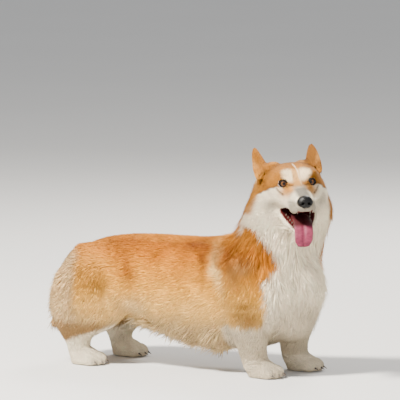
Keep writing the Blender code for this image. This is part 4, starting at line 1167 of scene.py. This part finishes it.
def mesh_object(name, points, corners, places):
    mesh = bpy.data.meshes.new(name)
    mesh.vertices.add(len(points))
    mesh.vertices.foreach_set("co", points.ravel())
    mesh.loops.add(corners.size)
    mesh.loops.foreach_set("vertex_index", corners.ravel())
    mesh.polygons.add(len(corners))
    mesh.polygons.foreach_set("loop_start", np.arange(0, corners.size, 3, dtype=np.int32))
    mesh.polygons.foreach_set("loop_total", np.full(len(corners), 3, np.int32))
    mesh.polygons.foreach_set("use_smooth", np.ones(len(corners), bool))
    mesh.update(calc_edges=True)
    add_map(mesh, places)
    obj = bpy.data.objects.new(name, mesh)
    bpy.context.scene.collection.objects.link(obj)
    return obj


def sheet_depth(points, normals, tree):
    """How thick the form is behind each place of its surface, up to 30 mm."""
    depth = np.full(len(points), 0.03)
    starts, ways = (points - normals * 0.0003).tolist(), (-normals).tolist()
    for i in range(len(points)):
        _, _, _, away = tree.ray_cast(starts[i], ways[i], 0.03)
        if away is not None:
            depth[i] = away + 0.0003
    return depth


def nearest(tree, points):
    """The nearest place of the surface to each point, and the surface's normal there."""
    places, normals = np.empty((2, len(points), 3))
    for i, point in enumerate(points.tolist()):
        place, normal, _, _ = tree.find_nearest(point)
        places[i] = place
        normals[i] = normal
    return places, normals


# Rings of a tuft: share of its length, of its width, of its brightness, from 0 at the root's painted shade to
# 1 at the tip's full colour
SHORT = ((0.42, 1.0, 0.80),)
LONG = ((0.28, 1.0, 0.62), (0.66, 0.72, 0.95))


def eye_share(local, outside, inside):
    """1 on the dark rims of the eyes, falling to 0 between the two sizes of their outline."""
    share = np.zeros(len(local))
    for side in (1, -1):
        gaze, across, upward = (np.array(v) for v in eye_axes(side))
        away = local - np.array(EYE_PLACE) * (1, side, 1)
        flat = np.sqrt((away @ across / LID_OUTER[0]) ** 2 + (away @ upward / LID_OUTER[1]) ** 2)
        share = np.maximum(share, ramp(flat, outside, inside) * (away @ gaze > 0))
    return share


def grow_coat(outer, normals, corners, skin, depth, places, tree):
    """Every tuft of the coat, as pieces of under 200,000 triangles."""
    draw = np.random.default_rng(11)
    shares = zones(outer)
    lively = 1 - np.clip(mouth_share(outer) * 3, 0, 1)
    lively *= ramp(outer[:, 2], 0.002, 0.004)
    local = in_head(outer)
    nose = np.linalg.norm((local - np.array(NOSE_PLACE)) / np.array(NOSE_HALF), axis=1)
    lively *= ramp(nose, 1.02, 1.15)
    lively *= 1 - eye_share(local, 1.04, 0.98)
    face = np.clip(shares["face"] + shares["ear"], 0, 1)
    small = np.clip(face + shares["foot"] + shares["muzzle"], 0, 1)
    head = np.clip(shares["head"] - face, 0, 1)
    legs = np.clip(shares["leg"], 0, 1) * (1 - small)
    long = np.clip(sum(shares[z] for z in ("ruff", "bib", "breeches", "fringe")), 0, 1)
    long = long * (1 - small) * (1 - head)
    body = np.clip(1 - small - head - legs - long, 0, 1)
    x, _, z = outer.T
    ahead, high = ramp(x, -0.02, 0.02), ramp(z, 0.190, 0.200)
    fringe = long * ramp(z, 0.16, 0.13) * ramp(x, 0.12, 0.08) * ramp(x, -0.19, -0.16)
    # Name, density over the skin, number of tufts, rings of a tuft, slot
    batches = (
        ("coat_face_left", small * (local[:, 1] > 0), 24000, SHORT, "head"),
        ("coat_face_right", small * (local[:, 1] <= 0), 24000, SHORT, "head"),
        ("coat_cheeks", head, 27000, SHORT, "head"),
        ("coat_legs", legs, 17000, SHORT, "foreleg"),
        ("coat_back_fore", body * ahead * high, 18000, SHORT, "neck"),
        ("coat_back_rear", body * (1 - ahead) * high, 20000, SHORT, "rump"),
        ("coat_flank_fore", body * ahead * (1 - high), 20000, SHORT, "belly"),
        ("coat_flank_rear", body * (1 - ahead) * (1 - high), 20000, SHORT, "thigh"),
        ("coat_ruff", long * ramp(z, 0.235, 0.245), 12000, LONG, "neck"),
        ("coat_bib", long * ramp(z, 0.245, 0.235) * ramp(x, 0.05, 0.09), 12000, LONG, "chest"),
        ("coat_breeches", long * ramp(x, -0.16, -0.18), 9000, LONG, "rump"),
        ("coat_fringe", fringe, 6000, LONG, "belly"),
    )
    made = []
    for name, density, count, rings, slot in batches:
        chosen, weights = sampled(skin, corners, density * lively, count, draw)
        values = np.column_stack([outer, skin, normals, depth])
        values = (values[corners[chosen]] * weights[:, :, None]).sum(axis=1)
        uv = (places[chosen] * weights[:, :, None]).sum(axis=1)
        made.append((grow_tufts(name, values, uv, tree, rings, draw), slot))
    return made


def grow_tufts(name, values, uv, tree, rings, draw):
    top, base, normal, depth = values[:, :3], values[:, 3:6], unit(values[:, 6:9]), values[:, 9]
    count = len(top)
    shares = zones(top)
    way = lie_of(top, shares) + draw.normal(0, 0.10, (count, 3))
    outward = (way * normal).sum(axis=1)
    lifted = shares["breeches"] * ramp(top[:, 2], 0.232, 0.200) + shares["fringe"] * 1.3
    lifted = lifted * np.maximum(outward, 0) + 0.20 * (shares["ruff"] + shares["cheek"])
    flat = unit(way - normal * outward[:, None])
    length = coat_length(shares) * draw.uniform(0.70, 1.20, count)
    width = tuft_width(shares) * draw.uniform(0.7, 1.3, count)
    tips, tip_normals = nearest(tree, top + flat * length[:, None])
    bends, bend_normals = nearest(tree, top + flat * (length * 0.45)[:, None])
    long = np.clip(shares["ruff"] + shares["bib"] + shares["breeches"] + shares["fringe"], 0, 1)
    if long.max() > 0.3:
        tips = gather(tips, long * 0.55, 0.014, draw)
        bends = gather(bends, long * 0.30, 0.014, draw)
    else:
        tips = gather(tips, np.full(count, 0.35), 0.008, draw)
    level = draw.uniform(0, 1, count)
    stand = depth * (0.12 - 0.60 * level) + lifted * length * 0.42 * draw.uniform(0, 1, count) ** 1.5
    stray = draw.uniform(0, 1, count) < 0.04 + 0.14 * long + 0.16 * shares["cheek"]
    away = length * (0.03 + 0.12 * long + 0.10 * shares["cheek"]) * draw.uniform(0.3, 1, count)
    stand = np.where(stray, depth * 0.25 + away, stand)
    width = np.where(stray, width * 0.45, width)
    tips = tips + tip_normals * stand[:, None]
    bends = bends + bend_normals * (stand * 0.3 - depth * (0.22 + 0.30 * level))[:, None]
    roots = base - normal * np.minimum(0.0006, depth * 0.3)[:, None]
    lift = np.maximum(0.0012 - np.minimum(bends[:, 2], tips[:, 2]), 0)
    bends[:, 2] += lift
    tips[:, 2] += lift
    colours = coat_colour(top + (tips - top) * 0.55)
    pale = ramp(colours.mean(axis=1), 0.30, 0.70)
    colours = colours * draw.normal(1.0, 0.07, (count, 1)) * draw.normal(1.0, 0.018, (count, 3))
    root_shade = 0.50 + pale * (0.44 - 0.32 * shares["bib"])
    forms = (roots, bends, tips)
    return tuft_mesh(name, forms, normal, width, width * 0.24, rings, colours, root_shade, uv)


def gather(points, pull, spacing, draw):
    """Draws points together in clumps about the spacing apart, each by its share of pull."""
    count = max(8, int(len(points) * 0.012 * (0.015 / spacing)))
    seeds = points[draw.choice(len(points), min(len(points), max(count, len(points) // 14)), replace=False)]
    tree = KDTree(len(seeds))
    for i, seed in enumerate(seeds.tolist()):
        tree.insert(seed, i)
    tree.balance()
    index = np.empty(len(points), int)
    away = np.empty(len(points))
    for i, point in enumerate(points.tolist()):
        _, index[i], away[i] = tree.find(point)
    share = pull * (away < spacing)
    return points + (seeds[index] - points) * share[:, None]


# ---------------------------------------------------------------- materials
def set_surface(material, values):
    for name, value in values.items():
        material.node_tree.nodes["Principled BSDF"].inputs[name].default_value = value


def new_material(name, roughness):
    made = bpy.data.materials.new(name)
    made.use_nodes = True
    shader = made.node_tree.nodes["Principled BSDF"]
    shader.inputs["Roughness"].default_value = roughness
    return made, made.node_tree, shader


def grain(tree, scale, detail):
    """Noise fixed to the piece."""
    place = tree.nodes.new("ShaderNodeTexCoord")
    noise = tree.nodes.new("ShaderNodeTexNoise")
    noise.inputs["Scale"].default_value = scale
    noise.inputs["Detail"].default_value = detail
    tree.links.new(place.outputs["Object"], noise.inputs["Vector"])
    return noise.outputs["Fac"]


def add_bump(tree, shader, strength, scale, distance=0.001):
    raised = tree.nodes.new("ShaderNodeBump")
    raised.inputs["Strength"].default_value = strength
    raised.inputs["Distance"].default_value = distance
    tree.links.new(grain(tree, scale, 4), raised.inputs["Height"])
    tree.links.new(raised.outputs["Normal"], shader.inputs["Normal"])


def coat_material(name, roughness, specular, bump=0.0, scale=900.0):
    """Takes its colour from the piece's own colour layer."""
    made, tree, shader = new_material(name, roughness)
    colour = tree.nodes.new("ShaderNodeVertexColor")
    colour.layer_name = "coat"
    tree.links.new(colour.outputs["Color"], shader.inputs["Base Color"])
    set_surface(made, {"Specular IOR Level": specular})
    if bump:
        add_bump(tree, shader, bump, scale)
    return made


def plain_material(name, low, high, roughness, scale, bump=0.3, coat=0.0, coat_roughness=0.1):
    """Two colours mottled at the given scale, with a fine bump."""
    made, tree, shader = new_material(name, roughness)
    colours = tree.nodes.new("ShaderNodeValToRGB")
    for element, colour, position in zip(colours.color_ramp.elements, (low, high), (0.35, 0.68)):
        element.color = (*colour, 1)
        element.position = position
    tree.links.new(grain(tree, scale, 5), colours.inputs["Fac"])
    tree.links.new(colours.outputs["Color"], shader.inputs["Base Color"])
    set_surface(made, {"Coat Weight": coat, "Coat Roughness": coat_roughness})
    add_bump(tree, shader, bump, scale * 3, 0.0005)
    return made


# ---------------------------------------------------------------- face and feet
def fine_ear(side):
    """The cupped ear with a finer sheet than the solids have."""
    root, tip, faces = EARS[side]
    root, tip = Vector(root), Vector(tip)
    axis = (tip - root).normalized()
    opening = Vector((math.cos(faces), math.sin(faces), 0))
    opening = (opening - axis * opening.dot(axis)).normalized()
    across = axis.cross(opening)
    segments = 24
    rings = []
    for share, half, curl in smooth_rows(EAR, 5):
        centre = root.lerp(tip, share)
        wall = (EAR_WALL + 0.0014) * (1.0 - 0.30 * share)
        inner, outer = [], []
        for i in range(segments + 1):
            t = -1 + 2 * i / segments
            edge = 1 - abs(t) ** 6 * 0.35
            at = centre + across * half * t + opening * curl * (t * t - 0.5)
            normal = (opening - across * (2 * curl * t / half)).normalized()
            outer.append(tuple(at - normal * (wall * edge / 2)))
            inner.append(tuple(at + normal * (wall * edge / 2)))
        rings.append(outer + inner[::-1])
    made = loft(rings, bent=True)
    made.transform(head_matrix())
    return made


def made_object(form, name, material):
    obj = joined([form], name)
    obj.data.materials.append(material)
    obj.data.shade_smooth()
    return obj


PUPIL_EDGE, IRIS_EDGE = 15, 33  # degrees from the line of sight
TO_CAMERA = (0.467, -0.878, 0.105)


def eye_piece(side, word, material):
    """The eyeball with its raised cornea. Rings round the line of sight carry pupil, iris and rim."""
    toward = head_matrix().to_3x3().inverted() @ Vector(TO_CAMERA)
    gaze = (toward * 0.75 + Vector((1, side * 0.2, 0)) * 0.25).normalized()
    across = Vector((-gaze.y, gaze.x, 0)).normalized()
    upward = gaze.cross(across)
    middle = eye_middle(side)
    angles = np.radians(np.concatenate([np.linspace(0, 42, 29)[1:], np.linspace(42, 176, 21)[1:]]))
    around = 64
    made = bmesh.new()
    draw = np.random.default_rng(5 + side)
    fibres = draw.uniform(0.75, 1.2, around)
    layer = made.verts.layers.float_color.new("coat")
    front = made.verts.new(middle + gaze * (EYE_RADIUS + 0.0007))
    front[layer] = (*BLACK, 1)
    loops = []
    for angle in angles:
        degrees = math.degrees(angle)
        bulge = 0.0007 * max(0.0, 1 - (degrees / 38) ** 2)
        bulge -= EYE_RADIUS * 0.24 * min(1.0, max(0.0, (degrees - 42) / 26))
        ring = []
        for i in range(around):
            turn = 2 * math.pi * i / around
            away = (across * math.cos(turn) + upward * math.sin(turn)) * math.sin(angle)
            away = away + gaze * math.cos(angle)
            vert = made.verts.new(middle + away * (EYE_RADIUS + bulge))
            if degrees < PUPIL_EDGE:
                colour = np.array(BLACK)
            elif degrees < IRIS_EDGE:
                share = (degrees - PUPIL_EDGE) / (IRIS_EDGE - PUPIL_EDGE)
                colour = np.array(IRIS_MIDDLE) * (1 - share) + np.array(IRIS_RIM) * share
                colour = colour * fibres[i] * (0.25 if degrees > 29 else 1)
            else:
                colour = np.array((0.008, 0.005, 0.004))
            vert[layer] = (*colour, 1)
            ring.append(vert)
        loops.append(ring)
    for i in range(around):
        made.faces.new((front, loops[0][i], loops[0][(i + 1) % around]))
    for first, second in zip(loops, loops[1:]):
        for i in range(around):
            j = (i + 1) % around
            made.faces.new((first[i], second[i], second[j], first[j]))
    back = made.verts.new(middle - gaze * EYE_RADIUS)
    back[layer] = (*BLACK, 1)
    for i in range(around):
        made.faces.new((loops[-1][(i + 1) % around], loops[-1][i], back))
    bmesh.ops.recalc_face_normals(made, faces=made.faces)
    made.transform(head_matrix())
    return made_object(made, "eyeball_" + word, material)


# Half width and half height of the eye's slit and of the dark rim round it
LID_INNER = (0.0066, 0.0046)
LID_OUTER = (0.0100, 0.0072)


def lid_piece(side, word, material, tree):
    """The dark rims of the lids as a band from the slit to the coat, drawn out at the inner corner."""
    gaze, across, upward = eye_axes(side)
    middle = eye_middle(side)
    frame_of = head_matrix()
    turned = frame_of.to_3x3()
    turns, rows = 72, 8
    made = bmesh.new()
    loops = []
    for i in range(turns):
        angle = 2 * math.pi * i / turns
        inward = max(0.0, -math.cos(angle) * side) ** 5
        outward = max(0.0, math.cos(angle) * side) ** 5
        pinch = 1 - 0.30 * math.cos(angle) ** 2
        ends = []
        for half, drawn in ((LID_INNER, 0.0016), (LID_OUTER, 0.0034)):
            wide = math.cos(angle) * half[0] - side * drawn * inward + side * 0.0006 * outward
            tall = math.sin(angle) * half[1] * pinch - 0.0010 * inward + 0.0004 * outward
            ends.append(Vector((wide, tall)))
        flat = min(ends[0].length, EYE_RADIUS * 0.95)
        near = math.sqrt(EYE_RADIUS**2 - flat**2) + 0.0004
        above = middle + across * ends[1].x + upward * ends[1].y + gaze * 0.04
        hit, _, _, away = tree.ray_cast(frame_of @ above, turned @ (-gaze), 0.06)
        far = 0.04 - away if hit else near - 0.004
        far = min(far, near + 0.004) - 0.0012
        front, rear = [], []
        for n in range(rows):
            u = n / (rows - 1)
            place = ends[0].lerp(ends[1], u)
            blend = u * u * (3 - 2 * u)
            over = math.sqrt(max(EYE_RADIUS**2 - place.length_squared, 0))
            over = over + 0.0005 + 0.0005 * math.sin(math.pi * u)
            deep = max(near * (1 - blend) + far * blend, over)
            at = middle + across * place.x + upward * place.y
            front.append(at + gaze * deep)
            rear.append(at + gaze * (deep - 0.0016 - 0.0010 * u))
        loops.append([made.verts.new(v) for v in front + rear[::-1]])
    for i in range(turns):
        first, second = loops[i], loops[(i + 1) % turns]
        for j in range(rows * 2):
            k = (j + 1) % (rows * 2)
            made.faces.new((first[j], first[k], second[k], second[j]))
    bmesh.ops.recalc_face_normals(made, faces=made.faces)
    made.transform(frame_of)
    return made_object(made, "eyelid_" + word, material)


def fine_nose(material):
    """The nose leather with its nostrils and the groove between them."""
    x, _, z = NOSE_PLACE
    deep, wide, tall = NOSE_HALF
    z, tall = z - 0.0012, tall * 1.13
    made = bmesh.new()
    bmesh.ops.create_uvsphere(made, u_segments=72, v_segments=48, radius=1)
    for vert in made.verts:
        p = vert.co.copy()
        narrow = 1.0 - 0.22 * max(0.0, -p.z)
        groove = math.exp(-((p.y / 0.10) ** 2)) * max(0.0, 0.45 - p.z) * 0.10 * max(0.0, p.x)
        wing = 0.05 * math.exp(-(((abs(p.y) - 0.62) / 0.25) ** 2) - ((p.z + 0.05) / 0.35) ** 2)
        reach = 1 + wing - groove
        vert.co = Vector((x + p.x * deep * reach, p.y * wide * narrow * (1 + wing * 0.5), z + p.z * tall))
    made.transform(head_matrix())
    obj = joined([made], "nose_leather")
    for side in (1, -1):
        pit = blob((x + 0.0125, side * 0.0058, z - 0.0010), (0.0062, 0.0031, 0.0030), around=24)
        slot = blob((x + 0.0080, side * 0.0108, z - 0.0030), (0.0062, 0.0048, 0.0013), around=20)
        cut_by(obj, placed([pit, slot], head_matrix()))
    obj.data.materials.clear()
    obj.data.materials.append(material)
    obj.data.shade_smooth()
    return obj


def fine_tongue(material):
    """The tongue with the groove along its middle, lolling over the lower teeth."""
    rings = []
    rows = round_ends(smooth_rows(TONGUE, 8), (3, 4), along=2, share=0.3, rings=6)
    rows[:6, 2] = rows[6, 2]
    rows[:6, 0] = rows[6, 0] - np.linspace(0.006, 0.001, 6)
    for i, (x, y, z, half, thick) in enumerate(rows):
        before, after = rows[max(i - 1, 0)], rows[min(i + 1, len(rows) - 1)]
        along = Vector((after[0] - before[0], 0, after[2] - before[2])).normalized()
        rise = np.array((-along.z, 0, along.x))
        ring = egg_ring((x, y, z), (0, 1, 0), rise, half, thick, thick, points=56, square=2.4)
        across = (ring[:, 1] - y) / half
        top = ((ring - (x, y, z)) @ rise) > 0
        dip = np.where(top, -0.0022, 0.0006) * np.exp(-((across / 0.16) ** 2))
        edge = 0.0016 * np.abs(across) ** 3 + 0.0006 * math.sin(i * 0.55) * across
        rings.append(ring + np.outer(dip + edge, rise))
    made = loft(rings)
    points = np.array([vert.co for vert in made.verts])
    grain = 1 + 0.16 * waves(points, 0.005, 50) + 0.10 * waves(points, 0.0016, 51)
    pink = np.array(TONGUE_PINK) * grain[:, None]
    # Darker along the middle: painted shade in the groove
    groove = np.exp(-(((points[:, 1] + 0.003) / 0.0016) ** 2))
    pink = mix(pink, (0.13, 0.016, 0.034), groove * 0.6)
    # The rear of the tongue, high in the mouth, painted dark: painted shade
    pink = mix(pink, (0.045, 0.006, 0.008), ramp(points[:, 2], -0.0840, -0.0755))
    made.transform(head_matrix())
    obj = made_object(made, "tongue_flesh", material)
    paint(obj.data, pink)
    return obj


def upper_teeth(lift):
    teeth = []
    for side in (1, -1):
        root, tip = (0.0975, side * 0.0120, -0.0400 + lift), (0.0985, side * 0.0125, -0.0600 + lift)
        teeth.append(tooth(root, tip, 0.0026))
        for n in range(3):
            across, ahead = 0.0018 + 0.0034 * n, 0.1060 - 0.0014 * n
            root, tip = (ahead, side * across, -0.0400 + lift), (ahead, side * across, -0.0560 + lift)
            teeth.append(tooth(root, tip, 0.0015))
        for n in range(4):
            back, aside = 0.0850 - 0.0105 * n, 0.0135 + 0.0024 * n
            root, tip = (back, side * aside, -0.0380 + lift), (back, side * aside, -0.0555 + lift)
            teeth.append(tooth(root, tip, 0.0030))
    return placed(teeth, head_matrix())


def lower_teeth(lift):
    teeth = []
    for side in (1, -1):
        teeth.append(tooth((0.0900, side * 0.0088, lift), (0.0925, side * 0.0108, 0.0135 + lift), 0.0021))
        for n in range(5):
            back, aside = 0.0770 - 0.0090 * n, 0.0146 + 0.0022 * n
            teeth.append(tooth((back, side * aside, lift), (back, side * aside, 0.0046 + lift), 0.0015))
    return placed(teeth, jaw_matrix())


def tooth(root, tip, radius):
    """A round-ended cone from root to tip."""
    root, tip = Vector(root), Vector(tip)
    axis = (tip - root).normalized()
    side = axis.cross(Vector((1, 0, 0))).normalized()
    other = axis.cross(side)
    rings = []
    for share, size in ((0.0, 1.0), (0.3, 0.96), (0.55, 0.80), (0.78, 0.52), (0.93, 0.26), (1.0, 0.10)):
        centre = root.lerp(tip, share)
        rings.append([
            tuple(centre + (side * math.cos(a) + other * math.sin(a)) * radius * size)
            for a in np.arange(12) * math.pi / 6
        ])
    return loft(rings)


def claw_piece(material):
    claws = []
    for x, y, yaw in paw_places():
        for forward, aside in toe_places():
            rings = []
            for share in np.linspace(0, 1, 9):
                place = forward + 0.0045 + CLAW_LENGTH * share
                level = 0.0105 - 0.0060 * share**1.5
                radius = CLAW_RADIUS * (1 - 0.78 * share**1.3)
                rings.append([
                    (place, aside + radius * math.cos(a) * 0.8, level + radius * math.sin(a))
                    for a in np.arange(14) * math.pi / 7
                ])
            made = loft(rings)
            made.transform(Matrix.Translation((x, y, 0)) @ Matrix.Rotation(yaw, 4, "Z"))
            claws.append(made)
    obj = joined(claws, "claws")
    obj.data.materials.append(material)
    obj.data.shade_smooth()
    return obj


def whiskers(material):
    """Thin, curved whiskers from the pads of the muzzle."""
    draw = np.random.default_rng(3)
    hairs = []
    for side in (1, -1):
        for row in range(3):
            for n in range(3):
                start = Vector((0.096 - 0.008 * n, side * (0.0190 + 0.0018 * n), -0.031 - 0.0048 * row))
                rise = 0.20 - 0.20 * row + draw.normal(0, 0.08)
                way = Vector((-0.55 - 0.15 * n, side, rise)).normalized()
                reach = 0.014 + 0.004 * n + draw.uniform(0, 0.005)
                rings = []
                for share in np.linspace(0, 1, 6):
                    at = start + way * reach * share + Vector((-0.30, 0, -0.25)) * reach * share**2 * 0.5
                    radius = 0.00016 * (1 - 0.85 * share)
                    one = way.cross(Vector((0, 0, 1))).normalized()
                    two = way.cross(one)
                    rings.append([
                        tuple(at + (one * math.cos(a) + two * math.sin(a)) * radius) for a in (0, 2.1, 4.2)
                    ])
                hairs.append(loft(rings))
    obj = joined(placed(hairs, head_matrix()), "whiskers")
    obj.data.materials.append(material)
    return obj


# ---------------------------------------------------------------- camera, floor and light
def look(obj, target):
    obj.rotation_euler = (Vector(target) - obj.location).to_track_quat("-Z", "Y").to_euler()


CAMERA_TURN, CAMERA_RISE = 28, 6  # degrees
CAMERA_AWAY = 7.0
CAMERA_AIM = 0.3336  # up from the origin of the stations
CAMERA_LENS, CAMERA_SENSOR = 315, 36  # millimetres
LIT_PLACE = (0.02, 0, 0.2)
# Lights: name, place to the right, up and towards the camera, size, power, colour
LIGHTS = (
    ("key", (-1.8, 2.9, 1.7), 0.7, 660, (1.0, 0.95, 0.86)),
    ("fill", (2.2, 0.6, 2.6), 2.4, 22, (0.94, 0.97, 1.0)),
    ("rim", (0.8, 2.4, -2.2), 1.4, 110, (1.0, 0.96, 0.90)),
)
AIR, AIR_STRENGTH = (0.93, 0.95, 0.98, 1), 0.68
FLOOR_SIZE = 40


def stage_and_light():
    turn, rise = math.radians(CAMERA_TURN), math.radians(CAMERA_RISE)
    right = Vector((math.cos(turn), math.sin(turn), 0))
    back = Vector((math.sin(turn) * math.cos(rise), -math.cos(turn) * math.cos(rise), math.sin(rise)))
    up = back.cross(right)
    camera = bpy.data.objects.new("camera", bpy.data.cameras.new("camera"))
    bpy.context.scene.collection.objects.link(camera)
    camera.location = up * CAMERA_AIM - FRAME_ORIGIN + back * CAMERA_AWAY
    camera.rotation_euler = Matrix((right, up, back)).transposed().to_euler()
    camera.data.sensor_width = CAMERA_SENSOR
    camera.data.lens = CAMERA_LENS
    camera.data.clip_end = 60
    bpy.context.scene.camera = camera
    for name, (across, over, near), size, power, colour in LIGHTS:
        lamp = bpy.data.lights.new(name, "AREA")
        lamp.shape = "DISK"
        lamp.size = size
        lamp.energy = power
        lamp.color = colour
        obj = bpy.data.objects.new(name, lamp)
        bpy.context.scene.collection.objects.link(obj)
        obj.location = Vector((0, 0, 0.2)) + (right * across + up * over + back * near)
        look(obj, LIT_PLACE)
    world = bpy.data.worlds.new("air")
    bpy.context.scene.world = world
    world.use_nodes = True
    sky = world.node_tree.nodes["Background"].inputs
    sky["Color"].default_value = AIR
    sky["Strength"].default_value = AIR_STRENGTH
    made = bmesh.new()
    bmesh.ops.create_grid(made, x_segments=8, y_segments=8, size=FLOOR_SIZE)
    ground = plain_material("floor", (0.625, 0.615, 0.600), (0.635, 0.625, 0.610), 0.9, 1.0, 0.02)
    floor = made_object(made, "floor", ground)


def main():
    coat_look = coat_material("coat_hair", 0.66, 0.12)
    skin_look = coat_material("coat_skin", 0.75, 0.10, 0.6, 700)
    whole = outer_surface()
    outer, normals, corners = mesh_arrays(whole.data)
    tree = BVHTree.FromPolygons(outer.tolist(), corners.tolist())
    shares = zones(outer)
    mouth = mouth_share(outer)
    depth = np.minimum(coat_depth(shares), sheet_depth(outer, normals, tree) * 0.22)
    depth = depth * (1 - np.clip(mouth * 2, 0, 1))
    skin = outer - normals * depth[:, None]
    skin[:, 2] = np.maximum(skin[:, 2], 0.0003)
    places = unwrap(outer, corners)
    coat = grow_coat(outer, normals, corners, skin, depth, places, tree)

    skin_obj = mesh_object("skin", skin, corners, places.reshape(-1, 2))
    # The skin between the tufts is painted darker than the coat: painted shade under the fur
    under = blended(
        shares, 0.66, ruff=0.72, bib=0.62, breeches=0.68, head=0.80, face=0.92, muzzle=0.95,
        leg=0.85, foot=0.9, ear=0.95,
    )
    colours = coat_colour(outer) * under[:, None]
    tint = np.array(GUM) * (1 + 0.25 * waves(outer, 0.006, 40))[:, None]
    colours = colours + (tint - colours) * np.clip(mouth, 0, 1)[:, None]
    lips = np.clip(mouth * 6, 0, 1) * (1 - np.clip(mouth * 1.6 - 0.4, 0, 1))
    colours = mix(colours, LIP, lips * 0.9)
    colours = mix(colours, BLACK, eye_share(in_head(outer), 1.26, 1.08))
    nose_away = np.linalg.norm((in_head(outer) - np.array(NOSE_PLACE)) / np.array(NOSE_HALF), axis=1)
    colours = mix(colours, BLACK, ramp(nose_away, 1.14, 1.04))
    paint(skin_obj.data, colours)
    for side in (1, -1):
        cut_by(skin_obj, [eye_opening(side)])
        cut_by(skin_obj, [eyeball(side, 0.0002)])
    mesh = skin_obj.data
    mesh.materials.clear()
    mesh.materials.append(skin_look)
    remove(whole)

    eye_look = coat_material("eye_wet", 0.45, 0.08)
    set_surface(eye_look, {"Coat Weight": 0.28, "Coat Roughness": 0.03})
    black = plain_material("black_skin", (0.0016, 0.0013, 0.0013), (0.004, 0.0034, 0.0034), 0.75, 500, 0.4)
    set_surface(black, {"Specular IOR Level": 0.12})
    leather = plain_material("nose_skin", (0.0018, 0.0016, 0.0017), (0.0050, 0.0044, 0.0046), 0.40, 420, 0.8)
    set_surface(leather, {"Specular IOR Level": 0.22})
    flesh = coat_material("tongue_skin", 0.45, 0.22, 0.5, 1500)
    ivory = plain_material(
        "tooth_enamel", (0.15, 0.125, 0.088), (0.23, 0.195, 0.145), 0.35, 200, 0.1, 0.4, 0.1
    )
    horn = plain_material("claw_horn", (0.060, 0.048, 0.040), (0.16, 0.125, 0.10), 0.35, 300, 0.2, 0.2, 0.2)
    hair = plain_material("whisker_hair", (0.70, 0.66, 0.60), (0.80, 0.76, 0.70), 0.5, 100, 0.0)

    body_nodes = ["belly", "chest", "neck", "rump", "head", "lower_jaw", "tail", "ear_left", "ear_right"]
    for word in ("left", "right"):
        body_nodes += ["thigh_" + word, "hock_" + word, "foreleg_" + word]
        body_nodes += [f"fore_{word}_paw", f"hind_{word}_paw"]
    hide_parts(*body_nodes)
    pieces = [(skin_obj, "chest")] + coat
    for side, word in ((1, "left"), (-1, "right")):
        eye = eye_piece(side, word, eye_look)
        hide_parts("eye_" + word)
        pieces += [(eye, "eye"), (lid_piece(side, word, black, tree), "nose")]
    nose = fine_nose(leather)
    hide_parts("nose")
    tongue = fine_tongue(flesh)
    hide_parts("tongue")
    teeth = joined(upper_teeth(0.0045) + lower_teeth(-0.0015), "teeth")
    teeth.data.materials.append(ivory)
    teeth.data.shade_smooth()
    claws = claw_piece(horn)
    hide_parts(*[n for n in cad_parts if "_claw_" in n])
    pieces += [(nose, "nose"), (tongue, "tongue"), (teeth, "head"), (claws, "claw"), (whiskers(hair), "head")]
    for obj, slot in pieces:
        obj.data.transform(Matrix.Translation(-FRAME_ORIGIN))
        if not obj.data.materials:
            obj.data.materials.append(coat_look)
        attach(obj, "root")
    stage_and_light()


main()
